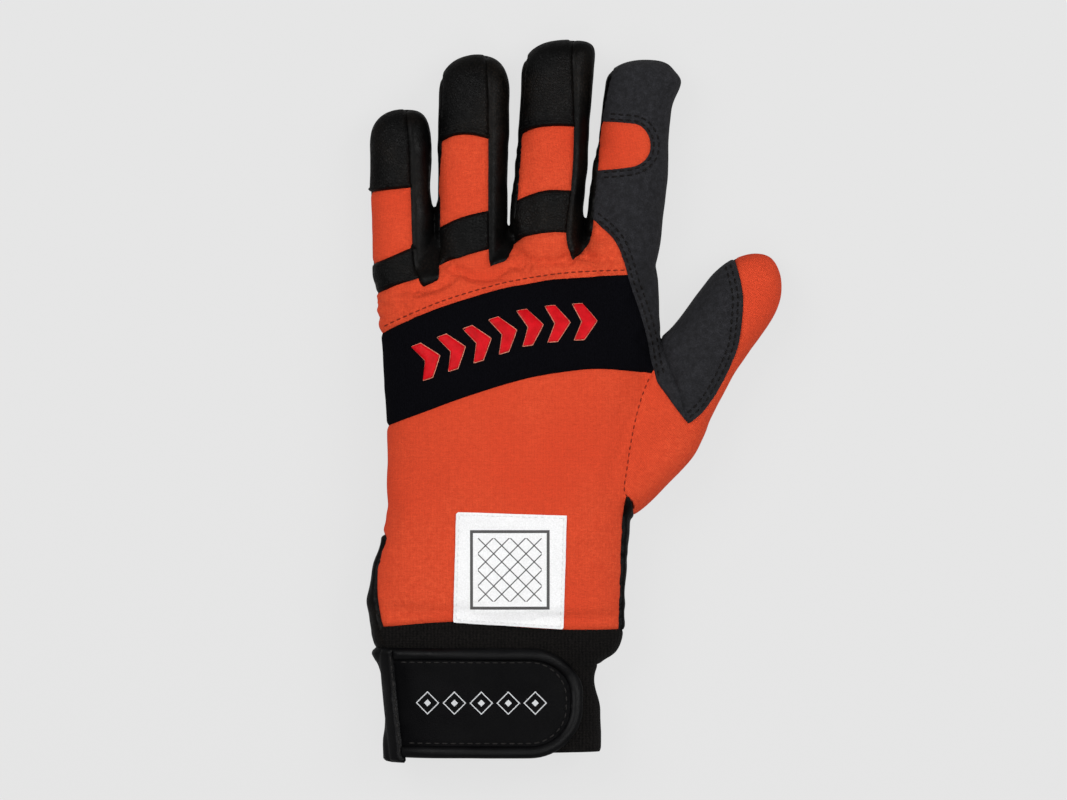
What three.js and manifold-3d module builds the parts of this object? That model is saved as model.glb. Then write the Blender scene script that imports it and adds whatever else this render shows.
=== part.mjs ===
// A left-hand chainsaw work glove, lying on its palm: fingers along +Y, thumb
// towards +X, the back of the hand up. Millimetres. Every panel is cut from one
// hollow glove form, as a cutter's pattern is, and keeps a narrow seam gap.
import * as THREE from "three";
import { mergeVertices } from "three/addons/utils/BufferGeometryUtils.js";
import Module from "manifold-3d";

const wasm = await Module();
wasm.setup();

// Hand and cuff
const handBreadth = 102; // across the knuckles
const palmLength = 141; // wrist seam to the finger crotches
const handHeight = 38; // floor to the back of the hand
const cuffLength = 46; // wrist seam to the mouth
const seamHeight = 9; // floor to the seam between palm and back

// Walls
const leatherWall = 1.8; // palm, finger sides and cuff
const fingerPad = 2.2; // backs of the fingers
const backPad = 3.4; // back of the hand, with its cut-stopping layers
const seamGap = 0.3; // between sewn neighbours
const patchThickness = 1; // sewn label
const printThickness = 0.9; // raised chevrons on the knuckle band

// Wrist strap
const strapWidth = 41; // along the forearm
const strapReach = 66; // from its sewn edge to its round end
const strapOverhang = 2; // past the mouth of the cuff
const strapThickness = 1.8;
const strapEdgeWidth = 4.6; // rolled edge round the strap
const strapEdgeThickness = 3;
const bindingThickness = 3.4; // folded binding that holds the strap's sewn edge
const bindingOverhang = 4; // past the mouth of the cuff

// Chevrons
const chevronCount = 7;
const chevronHeight = 13;
const chevronStroke = 3.6;
const chevronPitch = 10;

// Facets
const handFacets = { over: 12, under: 6 }; // round a section, over and under its widest
const digitFacets = { over: 9, under: 4 };
const strapCornerFacets = 5;
const seamSag = 0.5; // how far a seam's straight stretches may cut its curve
const tall = 3 * handHeight; // a cutter reaches through everything
const far = 2 * palmLength;
const beyondTip = 1.2; // a place past a finger's tip, in shares of its length

// Fingers and thumb: the root in shares of the hand, the lean in degrees towards
// the thumb, and real sizes
const digits = {
  little: { across: -0.368, along: 0.946, lean: -2, length: 60, breadth: 23.2, height: 21 },
  ring: { across: -0.124, along: 0.985, lean: 1, length: 75, breadth: 26.4, height: 23 },
  middle: { across: 0.15, along: 1.012, lean: 4, length: 77, breadth: 26.4, height: 24 },
  index: { across: 0.42, along: 0.998, lean: 7, length: 72, breadth: 27.6, height: 24 },
  thumb: { across: 0.365, along: 0.404, lean: 37, length: 102, breadth: 29, height: 27 },
};

// Sections of the hand, from the wrist seam to the finger crotches. along is a
// share of palmLength, left and right are shares of handBreadth, top of handHeight.
const handSections = [
  { along: 0, left: -0.478, right: 0.431, top: 0.88 },
  { along: 0.074, left: -0.493, right: 0.432, top: 0.9 },
  { along: 0.164, left: -0.482, right: 0.436, top: 0.93 },
  { along: 0.232, left: -0.447, right: 0.445, top: 0.95 },
  { along: 0.3, left: -0.431, right: 0.456, top: 0.97 },
  { along: 0.391, left: -0.426, right: 0.474, top: 0.99 },
  { along: 0.497, left: -0.427, right: 0.504, top: 1 },
  { along: 0.602, left: -0.438, right: 0.533, top: 1 },
  { along: 0.718, left: -0.445, right: 0.556, top: 0.99 },
  { along: 0.798, left: -0.455, right: 0.562, top: 0.95 },
  { along: 0.866, left: -0.468, right: 0.559, top: 0.87 },
  { along: 0.93, left: -0.47, right: 0.556, top: 0.76 },
  { along: 0.983, left: -0.45, right: 0.535, top: 0.62 },
  { along: 1.025, left: -0.41, right: 0.5, top: 0.48 },
  { along: 1.06, left: -0.35, right: 0.46, top: 0.36 },
];

// Sections of the cuff, from past the mouth up to the wrist seam. down is a share
// of cuffLength below the wrist seam.
const cuffSections = [
  { down: 1.2, left: -0.413, right: 0.354, top: 0.82 },
  { down: 0.66, left: -0.418, right: 0.347, top: 0.82 },
  { down: 0.32, left: -0.431, right: 0.334, top: 0.81 },
  { down: 0.26, left: -0.44, right: 0.352, top: 0.82 },
  { down: 0.21, left: -0.449, right: 0.392, top: 0.83 },
  { down: 0.12, left: -0.464, right: 0.42, top: 0.86 },
];

// Sections of a finger and of the thumb. along is a share of the length from the
// root, side and half of the breadth, foot and top of the height. The first one is
// lifted off the floor, inside the hand. The tip is worked out.
const fingerSections = [
  { along: -0.36, side: 0, half: 0.3, foot: 0.4, top: 1.3 },
  { along: -0.1, side: 0, half: 0.47, foot: 0, top: 1.22 },
  { along: 0.16, side: 0, half: 0.5, foot: 0, top: 1.08 },
  { along: 0.46, side: 0, half: 0.5, foot: 0, top: 0.98 },
];
const indexSections = [
  { along: -0.36, side: -0.05, half: 0.3, foot: 0.4, top: 1.3 },
  { along: -0.1, side: 0, half: 0.47, foot: 0, top: 1.2 },
  { along: 0.16, side: 0.02, half: 0.5, foot: 0, top: 1.06 },
  { along: 0.4, side: 0.02, half: 0.49, foot: 0, top: 0.99 },
  { along: 0.66, side: -0.01, half: 0.46, foot: 0, top: 0.94 },
];
const thumbSections = [
  { along: -0.27, side: -0.1, half: 0.4, foot: 0.3, top: 1.16 },
  { along: -0.077, side: -0.07, half: 0.65, foot: 0, top: 1.18 },
  { along: 0.1, side: 0.01, half: 0.68, foot: 0, top: 1.14 },
  { along: 0.245, side: 0.085, half: 0.67, foot: 0, top: 1.09 },
  { along: 0.4, side: 0.063, half: 0.583, foot: 0, top: 1.04 },
  { along: 0.6, side: 0.045, half: 0.49, foot: 0, top: 0.99 },
];

// A tip's roundness: start is where it begins to close, squareness the exponent
// of its outline, side how far its point lies off the middle.
const tips = {
  little: { start: 0.74, squareness: 2.5, side: 0.02 },
  ring: { start: 0.77, squareness: 2.5, side: 0.05 },
  middle: { start: 0.78, squareness: 2.5, side: 0.1 },
  index: { start: 0.82, squareness: 2.6, side: 0.2 },
  thumb: { start: 0.78, squareness: 1.9, side: -0.03 },
};
const tipTurns = [0.42, 0.72, 0.92]; // shares of the tip's own length
const sectionSquareness = 2.4; // 2 is an ellipse
const widestAt = 0.42; // share of a section's height
const tipDroop = 0.5; // how much of its height a tip loses before its point

// Dents and swells of the back. depth is in shares of handHeight, a swell is
// negative; reach and width are its half sizes in shares of handBreadth.
const folds = [
  { across: 0, along: 0.01, turn: 0, reach: 0.6, width: 0.07, depth: 0.05 },
  { across: 0.26, along: 0.36, turn: 60, reach: 0.35, width: 0.14, depth: 0.035 },
  { across: -0.3, along: 0.42, turn: -70, reach: 0.4, width: 0.16, depth: 0.03 },
  { across: -0.36, along: 0.84, turn: 35, reach: 0.16, width: 0.07, depth: -0.04 },
  { across: 0.02, along: 0.63, turn: 12, reach: 0.6, width: 0.1, depth: 0.02 },
];

const onHand = ({ across, along }) => new THREE.Vector2(across * handBreadth, along * palmLength);
const onCuff = ({ across, down }) => new THREE.Vector2(across * handBreadth, -down * cuffLength);

// A point of a digit, in shares of its own length and breadth
function onDigit(name, { across, along }) {
  const digit = digits[name];
  const lean = THREE.MathUtils.degToRad(digit.lean);
  const ahead = new THREE.Vector2(Math.sin(lean), Math.cos(lean)).multiplyScalar(along * digit.length);
  const aside = new THREE.Vector2(Math.cos(lean), -Math.sin(lean)).multiplyScalar(across * digit.breadth);
  return onHand(digit).add(ahead).add(aside);
}

// How deep the folds press the back in at one place
function foldDepth(x, y) {
  let depth = 0;
  for (const fold of folds) {
    const from = new THREE.Vector2(x, y).sub(onHand(fold));
    const turned = from.rotateAround(new THREE.Vector2(), -THREE.MathUtils.degToRad(fold.turn));
    const share = Math.hypot(turned.x / fold.reach, turned.y / fold.width) / handBreadth;
    if (share < 1) depth += fold.depth * handHeight * (1 - share ** 2) ** 2;
  }
  return depth;
}

// One ring of a form: a flat-bottomed rounded section across the direction ahead
function ring({ centre, ahead, half, top, floor }, facets) {
  const aside = new THREE.Vector2(ahead.y, -ahead.x);
  const middle = widestAt * (top + floor);
  const rounded = (v) => Math.sign(v) * Math.abs(v) ** (2 / sectionSquareness);
  return Array.from({ length: facets.over + facets.under }, (_, i) => {
    const turn = Math.PI * (i < facets.over ? i / facets.over : 1 + (i - facets.over) / facets.under);
    const over = rounded(Math.cos(turn)) * half;
    const lift = rounded(Math.sin(turn));
    const at = centre.clone().addScaledVector(aside, over);
    const z = lift > 0 ? middle + lift * (top - middle) : Math.max(middle * (1 + 1.25 * lift), floor);
    const pressed = lift > 0 ? foldDepth(at.x, at.y) * lift : 0;
    return new THREE.Vector3(at.x, at.y, z - pressed);
  });
}

function solidOf(geometry) {
  geometry.deleteAttribute("normal");
  geometry.deleteAttribute("uv");
  const merged = mergeVertices(geometry, 1e-4);
  return new wasm.Manifold(
    new wasm.Mesh({
      numProp: 3,
      vertProperties: merged.attributes.position.array,
      triVerts: new Uint32Array(merged.index.array),
    }),
  );
}

// A closed solid through rings of points, each end closed by a point of its own
function loft(rings, startPoint, endPoint) {
  const around = rings[0].length;
  const points = [...rings.flat(), startPoint, endPoint];
  const faces = [];
  rings.slice(1).forEach((_, r) => {
    for (let i = 0; i < around; i++) {
      const [a, b] = [r * around + i, r * around + ((i + 1) % around)];
      faces.push(a, a + around, b, b, a + around, b + around);
    }
  });
  const last = (rings.length - 1) * around;
  for (let i = 0; i < around; i++) {
    const next = (i + 1) % around;
    faces.push(rings.length * around, i, next);
    faces.push(rings.length * around + 1, last + next, last + i);
  }
  const geometry = new THREE.BufferGeometry().setFromPoints(points);
  return solidOf(geometry.setIndex(faces));
}

const ringCentre = (points) =>
  points.reduce((sum, p) => sum.add(p), new THREE.Vector3()).divideScalar(points.length);

// The hand and cuff. grow moves its surface out, or in where it is negative, and
// pad is what the back loses besides.
function handForm({ grow, pad = 0 }) {
  const end = handSections.at(-1).along * palmLength + grow;
  const rows = [
    ...cuffSections.map((s) => ({ ...s, y: onCuff({ across: 0, down: s.down }).y })),
    ...handSections.map((s) => ({ ...s, y: Math.min(s.along * palmLength, end) })),
  ];
  if (grow > 0) rows.at(-1).y = end;
  const rings = rows.map((row) =>
    ring(
      {
        centre: new THREE.Vector2(((row.left + row.right) / 2) * handBreadth, row.y),
        ahead: new THREE.Vector2(0, 1),
        half: ((row.right - row.left) / 2) * handBreadth + grow,
        top: row.top * handHeight + grow - pad,
        floor: Math.max(0, -grow),
      },
      handFacets,
    ),
  );
  return loft(rings, ringCentre(rings[0]), ringCentre(rings.at(-1)));
}

// A finger or the thumb, closed by a rounded tip
function digitForm(name, sections, { grow, pad = 0 }) {
  const digit = digits[name];
  const tip = tips[name];
  const lean = THREE.MathUtils.degToRad(digit.lean);
  const ahead = new THREE.Vector2(Math.sin(lean), Math.cos(lean));
  const shorter = grow / digit.length;
  const last = sections.at(-1);
  const rows = sections.map((s) => ({ ...s, round: 1 }));
  rows.push({ ...last, along: tip.start, round: 1 });
  for (const turn of tipTurns) {
    rows.push({
      along: THREE.MathUtils.lerp(tip.start, 1 + shorter, turn),
      side: THREE.MathUtils.lerp(last.side, last.side + tip.side, turn),
      half: last.half,
      foot: last.foot,
      top: last.top,
      round: (1 - turn ** tip.squareness) ** (1 / tip.squareness),
    });
  }
  const rings = rows.map((row) => {
    const floor = row.foot * digit.height + Math.max(0, -grow);
    const top = row.top * digit.height + grow - pad;
    const low = widestAt * tipDroop * (top + floor) * (1 - row.round);
    return ring(
      {
        centre: onDigit(name, { across: row.side, along: row.along }),
        ahead,
        half: (row.half * digit.breadth + grow) * row.round,
        top: THREE.MathUtils.lerp(widestAt * (top + floor), top, row.round),
        floor: floor + low,
      },
      digitFacets,
    );
  });
  const point = onDigit(name, { across: last.side + tip.side, along: 1 + shorter });
  const pointHeight = ringCentre(rings.at(-1)).z;
  return loft(rings, ringCentre(rings[0]), new THREE.Vector3(point.x, point.y, pointHeight));
}

function gloveForm(grow, handPad, digitPad) {
  const shapes = { thumb: thumbSections, index: indexSections };
  return Object.keys(digits).reduce(
    (form, name) => form.add(digitForm(name, shapes[name] ?? fingerSections, { grow, pad: digitPad })),
    handForm({ grow, pad: handPad }),
  );
}

// A smooth seam through a few points, in straight stretches no longer than its bends allow
function seam(points) {
  const curve = new THREE.SplineCurve(points);
  const stretches = (from, to) => {
    const between = (from + to) / 2;
    const [start, middle, end] = [from, between, to].map((t) => curve.getPoint(t));
    const chord = end.sub(start);
    const sag = Math.abs(chord.cross(middle.sub(start))) / chord.length();
    return sag < seamSag ? [start] : [...stretches(from, between), ...stretches(between, to)];
  };
  const spans = points.length - 1;
  const corners = points.slice(1).flatMap((_, i) => stretches(i / spans, (i + 1) / spans));
  return [...corners, points.at(-1)];
}

// A closed outline from seams end to end, anticlockwise, without double points
function outlineOf(...seams) {
  const points = seams.flat().filter((p, i, all) => i === 0 || p.distanceTo(all[i - 1]) > seamGap);
  if (points[0].distanceTo(points.at(-1)) < seamGap) points.pop();
  return THREE.ShapeUtils.isClockWise(points) ? points.reverse() : points;
}

function outset(points, distance) {
  const count = points.length;
  return points.map((p, i) => {
    const before = p.clone().sub(points[(i + count - 1) % count]).normalize();
    const after = points[(i + 1) % count].clone().sub(p).normalize();
    const out = new THREE.Vector2(before.y + after.y, -before.x - after.x).normalize();
    const stretch = Math.max(0.5, out.x * before.y - out.y * before.x);
    return p.clone().addScaledVector(out, distance / stretch);
  });
}

// An outline cut through from one height to another
function prism(outline, from = -tall, to = tall) {
  const geometry = new THREE.ExtrudeGeometry(new THREE.Shape(outline), {
    depth: to - from,
    bevelEnabled: false,
  });
  return solidOf(geometry.translate(0, 0, from));
}

function largest(solid) {
  return solid.decompose().sort((a, b) => b.volume() - a.volume())[0];
}

const glove = new THREE.Group();
glove.name = "chainsaw_glove";

const materials = {
  stretchCloth: { color: 0xe9512a, roughness: 0.85, metalness: 0 },
  gloveLeather: { color: 0x161412, roughness: 0.42, metalness: 0 },
  mattSuede: { color: 0x2a2a2b, roughness: 0.75, metalness: 0 },
  neoprene: { color: 0x08080a, roughness: 0.9, metalness: 0 },
  knitBand: { color: 0x1a1917, roughness: 0.95, metalness: 0 },
  strapRubber: { color: 0x101012, roughness: 0.45, metalness: 0 },
  wovenLabel: { color: 0xf2f1ee, roughness: 0.8, metalness: 0 },
  redPrint: { color: 0xc4161c, roughness: 0.5, metalness: 0 },
};

function addPiece(name, solid, finish) {
  const body = largest(solid);
  const { numProp, vertProperties, triVerts } = body.getMesh();
  const corners = new Float32Array((vertProperties.length / numProp) * 3);
  for (let i = 0; i < corners.length / 3; i++) {
    corners.set(vertProperties.subarray(i * numProp, i * numProp + 3), i * 3);
  }
  const geometry = new THREE.BufferGeometry();
  geometry.setAttribute("position", new THREE.BufferAttribute(corners, 3));
  geometry.setIndex(new THREE.BufferAttribute(triVerts, 1));
  geometry.computeVertexNormals();
  const mesh = new THREE.Mesh(geometry, new THREE.MeshStandardMaterial(materials[finish]));
  mesh.name = name;
  glove.add(mesh);
}

// What is left of the shell as one panel after another is cut out of it
class Cloth {
  constructor(solid) {
    this.rest = solid;
  }

  take(name, outline, finish) {
    addPiece(name, this.rest.intersect(prism(outline)), finish);
    this.rest = this.rest.subtract(prism(outset(outline, seamGap)));
  }
}

const shell = gloveForm(0, 0, 0).subtract(
  gloveForm(-leatherWall, backPad - leatherWall, fingerPad - leatherWall),
);

const corner = (x, y) => new THREE.Vector2(x, y);
const mouth = -cuffLength;

// Cuff and wrist band: whole rings below the wrist seam
const wristSeam = seam(
  [
    { across: -0.6, along: 0.014 },
    { across: -0.449, along: 0.012 },
    { across: -0.2, along: 0 },
    { across: 0.1, along: -0.006 },
    { across: 0.43, along: -0.006 },
    { across: 0.6, along: -0.006 },
  ].map(onHand),
);
const bandFoot = [
  { across: 0.6, down: 0.3 },
  { across: -0.6, down: 0.3 },
].map(onCuff);
const belowWrist = new Cloth(
  shell.intersect(prism([corner(-far, mouth), corner(far, mouth), corner(far, far), corner(-far, far)])),
);
belowWrist.take(
  "cuff",
  outlineOf(bandFoot, [corner(-far, mouth - seamGap), corner(far, mouth - seamGap)]),
  "knitBand",
);
belowWrist.take("wrist_band", outlineOf(wristSeam, bandFoot), "knitBand");

const everywhere = [corner(-far, -far), corner(far, -far), corner(far, far), corner(-far, far)];
const palmSide = new Cloth(
  belowWrist.rest.intersect(prism(everywhere, -tall, seamHeight - seamGap / 2)),
);
const backSide = new Cloth(
  belowWrist.rest.intersect(prism(everywhere, seamHeight + seamGap / 2, tall)),
);

// Palm side: the thumb's front and the finger fronts are sewn on to the palm
const thumbRoot = seam(
  [
    { along: 0.645, across: -0.674 },
    { along: 0.523, across: -0.483 },
    { along: 0.342, across: -0.311 },
    { along: 0.135, across: 0.016 },
    { along: -0.026, across: 0.398 },
    { along: -0.078, across: 0.8 },
  ].map((p) => onDigit("thumb", p)),
);
const thumbSide = [
  { along: 0.25, across: 3 },
  { along: 1.4, across: 0 },
  { along: 1, across: -1.05 },
].map((p) => onDigit("thumb", p));
palmSide.take("thumb_front", outlineOf(thumbRoot, thumbSide), "gloveLeather");

const crotchLine = handSections.at(-1).along * palmLength;
const fingers = ["little", "ring", "middle", "index"];
const fingerDivides = [-1, 0, 1, 2, 3].map((i) =>
  [0, beyondTip].map((along) => {
    const left = fingers[i] && onDigit(fingers[i], { along, across: fingers[i + 1] ? 0.5 : 1 });
    const right = fingers[i + 1] && onDigit(fingers[i + 1], { along, across: fingers[i] ? -0.5 : -1 });
    return left && right ? left.lerp(right, 0.5) : left || right;
  }),
);
fingers.forEach((name, i) => {
  const sides = fingerDivides.slice(i, i + 2);
  const feet = sides.map(([foot, tip]) => foot.clone().lerp(tip, (crotchLine - foot.y) / (tip.y - foot.y)));
  const outline = outlineOf(feet, [sides[1][1], sides[0][1]]);
  palmSide.take(name + "_front", outline, "gloveLeather");
});
addPiece("palm", palmSide.rest, "gloveLeather");

// Fourchettes: the black strips between the fingers, each one length of leather
// down one finger's side, round the crotch and up the next
const fourchettes = [
  {
    name: "fourchette_little_ring",
    from: "little",
    down: [
      { along: beyondTip, across: 0.1 },
      { along: 0.98, across: 0.11 },
      { along: 0.74, across: 0.15 },
      { along: 0.14, across: 0.15 },
      { along: -0.06, across: 0.22 },
      { along: -0.116, across: 0.3 },
    ],
    to: "ring",
    up: [
      { along: -0.127, across: -0.45 },
      { along: 0.07, across: -0.45 },
      { along: 0.24, across: -0.47 },
      { along: 0.75, across: -0.45 },
      { along: beyondTip, across: -0.45 },
    ],
  },
  {
    name: "fourchette_ring_middle",
    from: "ring",
    down: [
      { along: beyondTip, across: 0.14 },
      { along: 0.99, across: 0.158 },
      { along: 0.77, across: 0.21 },
      { along: 0.23, across: 0.24 },
      { along: -0.053, across: 0.27 },
    ],
    to: "middle",
    up: [
      { along: -0.09, across: -0.56 },
      { along: -0.012, across: -0.47 },
      { along: 0.187, across: -0.47 },
      { along: 0.7, across: -0.46 },
      { along: beyondTip, across: -0.45 },
    ],
  },
  {
    name: "fourchette_middle_index",
    from: "middle",
    down: [
      { along: beyondTip, across: 0.14 },
      { along: 0.99, across: 0.16 },
      { along: 0.58, across: 0.29 },
      { along: 0.275, across: 0.31 },
      { along: 0.07, across: 0.28 },
      { along: -0.064, across: 0.388 },
    ],
    to: "index",
    up: [
      { along: -0.03, across: -0.5 },
      { along: 0.06, across: -0.43 },
      { along: 0.24, across: -0.43 },
      { along: 0.63, across: -0.45 },
      { along: 0.9, across: -0.4 },
      { along: beyondTip, across: -0.3 },
    ],
  },
];
for (const strip of fourchettes) {
  const down = seam(strip.down.map((p) => onDigit(strip.from, p)));
  const up = seam(strip.up.map((p) => onDigit(strip.to, p)));
  backSide.take(strip.name, outlineOf(down, up), "gloveLeather");
}

// Little, ring and middle finger: a leather cap, a cloth back and a leather strip
// over the knuckle, cut along two seams across each finger
const fingerSeams = {
  little: {
    cap: [
      { along: 0.49, across: -0.7 },
      { along: 0.495, across: -0.45 },
      { along: 0.514, across: 0.3 },
    ],
    stripTop: [
      { along: 0.02, across: -0.7 },
      { along: 0.09, across: -0.178 },
      { along: 0.16, across: 0.3 },
    ],
    stripFoot: [
      { along: -0.16, across: -0.7 },
      { along: -0.118, across: -0.32 },
      { along: -0.04, across: 0.3 },
    ],
  },
  ring: {
    cap: [
      { along: 0.54, across: -0.6 },
      { along: 0.59, across: -0.286 },
      { along: 0.595, across: 0.01 },
      { along: 0.565, across: 0.35 },
    ],
    stripTop: [
      { along: 0.11, across: -0.6 },
      { along: 0.183, across: -0.165 },
      { along: 0.23, across: 0.35 },
    ],
    stripFoot: [
      { along: -0.07, across: -0.6 },
      { along: 0, across: -0.056 },
      { along: 0.04, across: 0.35 },
    ],
  },
  middle: {
    cap: [
      { along: 0.49, across: -0.6 },
      { along: 0.548, across: -0.366 },
      { along: 0.575, across: -0.018 },
      { along: 0.58, across: 0.4 },
    ],
    stripTop: [
      { along: 0.17, across: -0.6 },
      { along: 0.216, across: -0.402 },
      { along: 0.262, across: -0.057 },
      { along: 0.27, across: 0.4 },
    ],
    stripFoot: [
      { along: -0.04, across: -0.6 },
      { along: 0.031, across: -0.317 },
      { along: 0.063, across: 0.085 },
      { along: 0.064, across: 0.4 },
    ],
  },
};
for (const [name, seams] of Object.entries(fingerSeams)) {
  const [cap, stripTop, stripFoot] = [seams.cap, seams.stripTop, seams.stripFoot].map((rows) =>
    seam(rows.map((p) => onDigit(name, p))),
  );
  const beyond = [
    { along: beyondTip, across: 0.4 },
    { along: beyondTip, across: -0.6 },
  ].map((p) => onDigit(name, p));
  backSide.take(name + "_cap", outlineOf(cap, beyond), "gloveLeather");
  backSide.take(name + "_back", outlineOf(stripTop, beyond), "stretchCloth");
  backSide.take(name + "_strip", outlineOf(stripFoot, beyond), "gloveLeather");
}

// Index finger: matt suede from the palm wraps its tip and outer side, round a
// cloth inset, and runs on past the thumb's crotch
const inset = [
  { along: 0.645, across: -0.8 },
  { along: 0.655, across: -0.2 },
  { along: 0.652, across: 0.05 },
  { along: 0.609, across: 0.19 },
  { along: 0.549, across: 0.245 },
  { along: 0.49, across: 0.21 },
  { along: 0.441, across: 0.07 },
  { along: 0.413, across: -0.2 },
  { along: 0.37, across: -0.8 },
].map((p) => onDigit("index", p));
backSide.take("index_inset", outlineOf(seam(inset)), "stretchCloth");

const wrapEdge = [
  { across: 0.31, along: 1.083 },
  { across: 0.365, along: 1.05 },
  { across: 0.407, along: 1.015 },
  { across: 0.438, along: 0.959 },
  { across: 0.456, along: 0.914 },
  { across: 0.493, along: 0.838 },
  { across: 0.524, along: 0.758 },
  { across: 0.538, along: 0.7 },
  { across: 0.55, along: 0.66 },
].map(onHand);
const wrapEnd = [
  { along: 0.373, across: -0.046 },
  { along: 0.332, across: 0.453 },
].map((p) => onDigit("thumb", p));
const crotchFold = [
  { along: 0.332, across: 0.453 },
  { along: 0.398, across: 0.152 },
  { along: 0.46, across: -0.205 },
  { along: 0.524, across: -0.478 },
  { along: 0.623, across: -0.616 },
].map((p) => onDigit("thumb", p));
const aroundIndex = [
  { along: 0.25, across: 0.75 },
  { along: beyondTip, across: 0.75 },
  { along: beyondTip, across: -0.75 },
  { along: 0.14, across: -0.6 },
].map((p) => onDigit("index", p));
const wrapSeam = seam([...wrapEdge, ...wrapEnd]);
backSide.take("index_wrap", outlineOf(wrapSeam, seam(crotchFold), aroundIndex), "mattSuede");

// Thumb: a suede patch on the crotch side and a cloth back
const patchEdge = [
  { along: 0.95, across: -0.5 },
  { along: 0.903, across: -0.29 },
  { along: 0.853, across: -0.074 },
  { along: 0.802, across: 0.09 },
  { along: 0.686, across: 0.345 },
  { along: 0.618, across: 0.43 },
  { along: 0.531, across: 0.495 },
  { along: 0.425, across: 0.53 },
  { along: 0.365, across: 0.5 },
  { along: 0.334, across: 0.464 },
].map((p) => onDigit("thumb", p));
backSide.take("thumb_patch", outlineOf(seam(patchEdge), seam(crotchFold)), "mattSuede");

const thumbSeam = [
  { along: 0.444, across: -0.318 },
  { along: 0.39, across: -0.306 },
  { along: 0.29, across: -0.208 },
  { along: 0.179, across: -0.038 },
  { along: 0.065, across: 0.175 },
  { along: -0.005, across: 0.325 },
  { along: -0.019, across: 0.511 },
  { along: -0.054, across: 0.588 },
  { along: -0.082, across: 0.7 },
  { along: -0.077, across: 0.886 },
].map((p) => onDigit("thumb", p));
backSide.take("thumb_back", outlineOf(seam(thumbSeam), thumbSide), "stretchCloth");

// Side gussets: the palm leather's bound edge, seen beside the back at the wrist
const leftGusset = [
  { across: -0.48, along: 0.262 },
  { across: -0.438, along: 0.248 },
  { across: -0.459, along: 0.207 },
  { across: -0.472, along: 0.156 },
  { across: -0.472, along: 0.111 },
  { across: -0.459, along: 0.053 },
  { across: -0.446, along: 0 },
].map(onHand);
const rightGusset = [
  { across: 0.475, along: 0.3 },
  { across: 0.466, along: 0.335 },
  { across: 0.45, along: 0.352 },
  { across: 0.438, along: 0.335 },
  { across: 0.431, along: 0.259 },
  { across: 0.424, along: 0.111 },
  { across: 0.42, along: -0.01 },
].map(onHand);
const leftOfHand = [onHand({ across: -0.7, along: -0.02 }), onHand({ across: -0.7, along: 0.27 })];
const rightOfHand = [onHand({ across: 0.7, along: -0.02 }), onHand({ across: 0.7, along: 0.24 })];
backSide.take("gusset_left", outlineOf(seam(leftGusset), leftOfHand), "gloveLeather");
backSide.take("gusset_right", outlineOf(seam(rightGusset), rightOfHand), "gloveLeather");

// Back of the hand: cloth over the knuckles, the neoprene band, the main back
const bandTop = seam(
  [
    { across: -0.6, along: 0.72 },
    { across: -0.45, along: 0.778 },
    { across: -0.359, along: 0.809 },
    { across: -0.221, along: 0.85 },
    { across: -0.055, along: 0.887 },
    { across: 0.073, along: 0.908 },
    { across: 0.23, along: 0.924 },
    { across: 0.445, along: 0.931 },
    { across: 0.6, along: 0.93 },
  ].map(onHand),
);
const bandBottom = seam(
  [
    { across: -0.6, along: 0.485 },
    { across: -0.427, along: 0.536 },
    { across: -0.325, along: 0.563 },
    { across: -0.133, along: 0.613 },
    { across: 0.065, along: 0.656 },
    { across: 0.223, along: 0.677 },
    { across: 0.358, along: 0.684 },
    { across: 0.537, along: 0.672 },
    { across: 0.65, along: 0.66 },
  ].map(onHand),
);
const beyondFingers = [onHand({ across: 0.7, along: 1.4 }), onHand({ across: -0.7, along: 1.4 })];
backSide.take("knuckle_panel", outlineOf(bandTop, beyondFingers), "stretchCloth");
backSide.take("knuckle_band", outlineOf(bandBottom, beyondFingers), "neoprene");
addPiece("back_panel", backSide.rest, "stretchCloth");

// Pieces laid on the hand or the cuff follow its surface a seam gap above it
const layer = (thickness, outline) =>
  handForm({ grow: seamGap + thickness })
    .subtract(handForm({ grow: seamGap }))
    .intersect(prism(outline, seamHeight, tall));

// Sewn label above the wrist
const label = [
  { across: -0.175, along: 0.308 },
  { across: 0.223, along: 0.298 },
  { across: 0.21, along: 0.008 },
  { across: -0.183, along: 0.024 },
].map(onHand);
addPiece("label", layer(patchThickness, outlineOf(label)), "wovenLabel");

// Raised chevrons in a row, centred on a line along the middle of the knuckle band
const chevronRow = new THREE.SplineCurve(
  [
    { across: -0.42, along: 0.668 },
    { across: -0.29, along: 0.705 },
    { across: -0.1, along: 0.752 },
    { across: 0.1, along: 0.795 },
    { across: 0.33, along: 0.81 },
    { across: 0.46, along: 0.812 },
  ].map(onHand),
);
for (let i = 0; i < chevronCount; i++) {
  const share = 0.5 + ((i - (chevronCount - 1) / 2) * chevronPitch) / chevronRow.getLength();
  const centre = chevronRow.getPointAt(share);
  const ahead = chevronRow.getTangentAt(share);
  const up = new THREE.Vector2(-ahead.y, ahead.x);
  const point = (forward, rise) =>
    centre.clone().addScaledVector(ahead, forward).addScaledVector(up, rise);
  const [half, lean] = [chevronHeight / 2, chevronHeight / 4];
  const outline = [
    point(-lean - chevronStroke / 2, half),
    point(-chevronStroke / 2, 0),
    point(-lean - chevronStroke / 2, -half),
    point(-lean + chevronStroke / 2, -half),
    point(chevronStroke / 2 + lean / 2, 0),
    point(-lean + chevronStroke / 2, half),
  ];
  addPiece("chevron_" + (i + 1), layer(printThickness, outlineOf(outline)), "redPrint");
}

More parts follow.
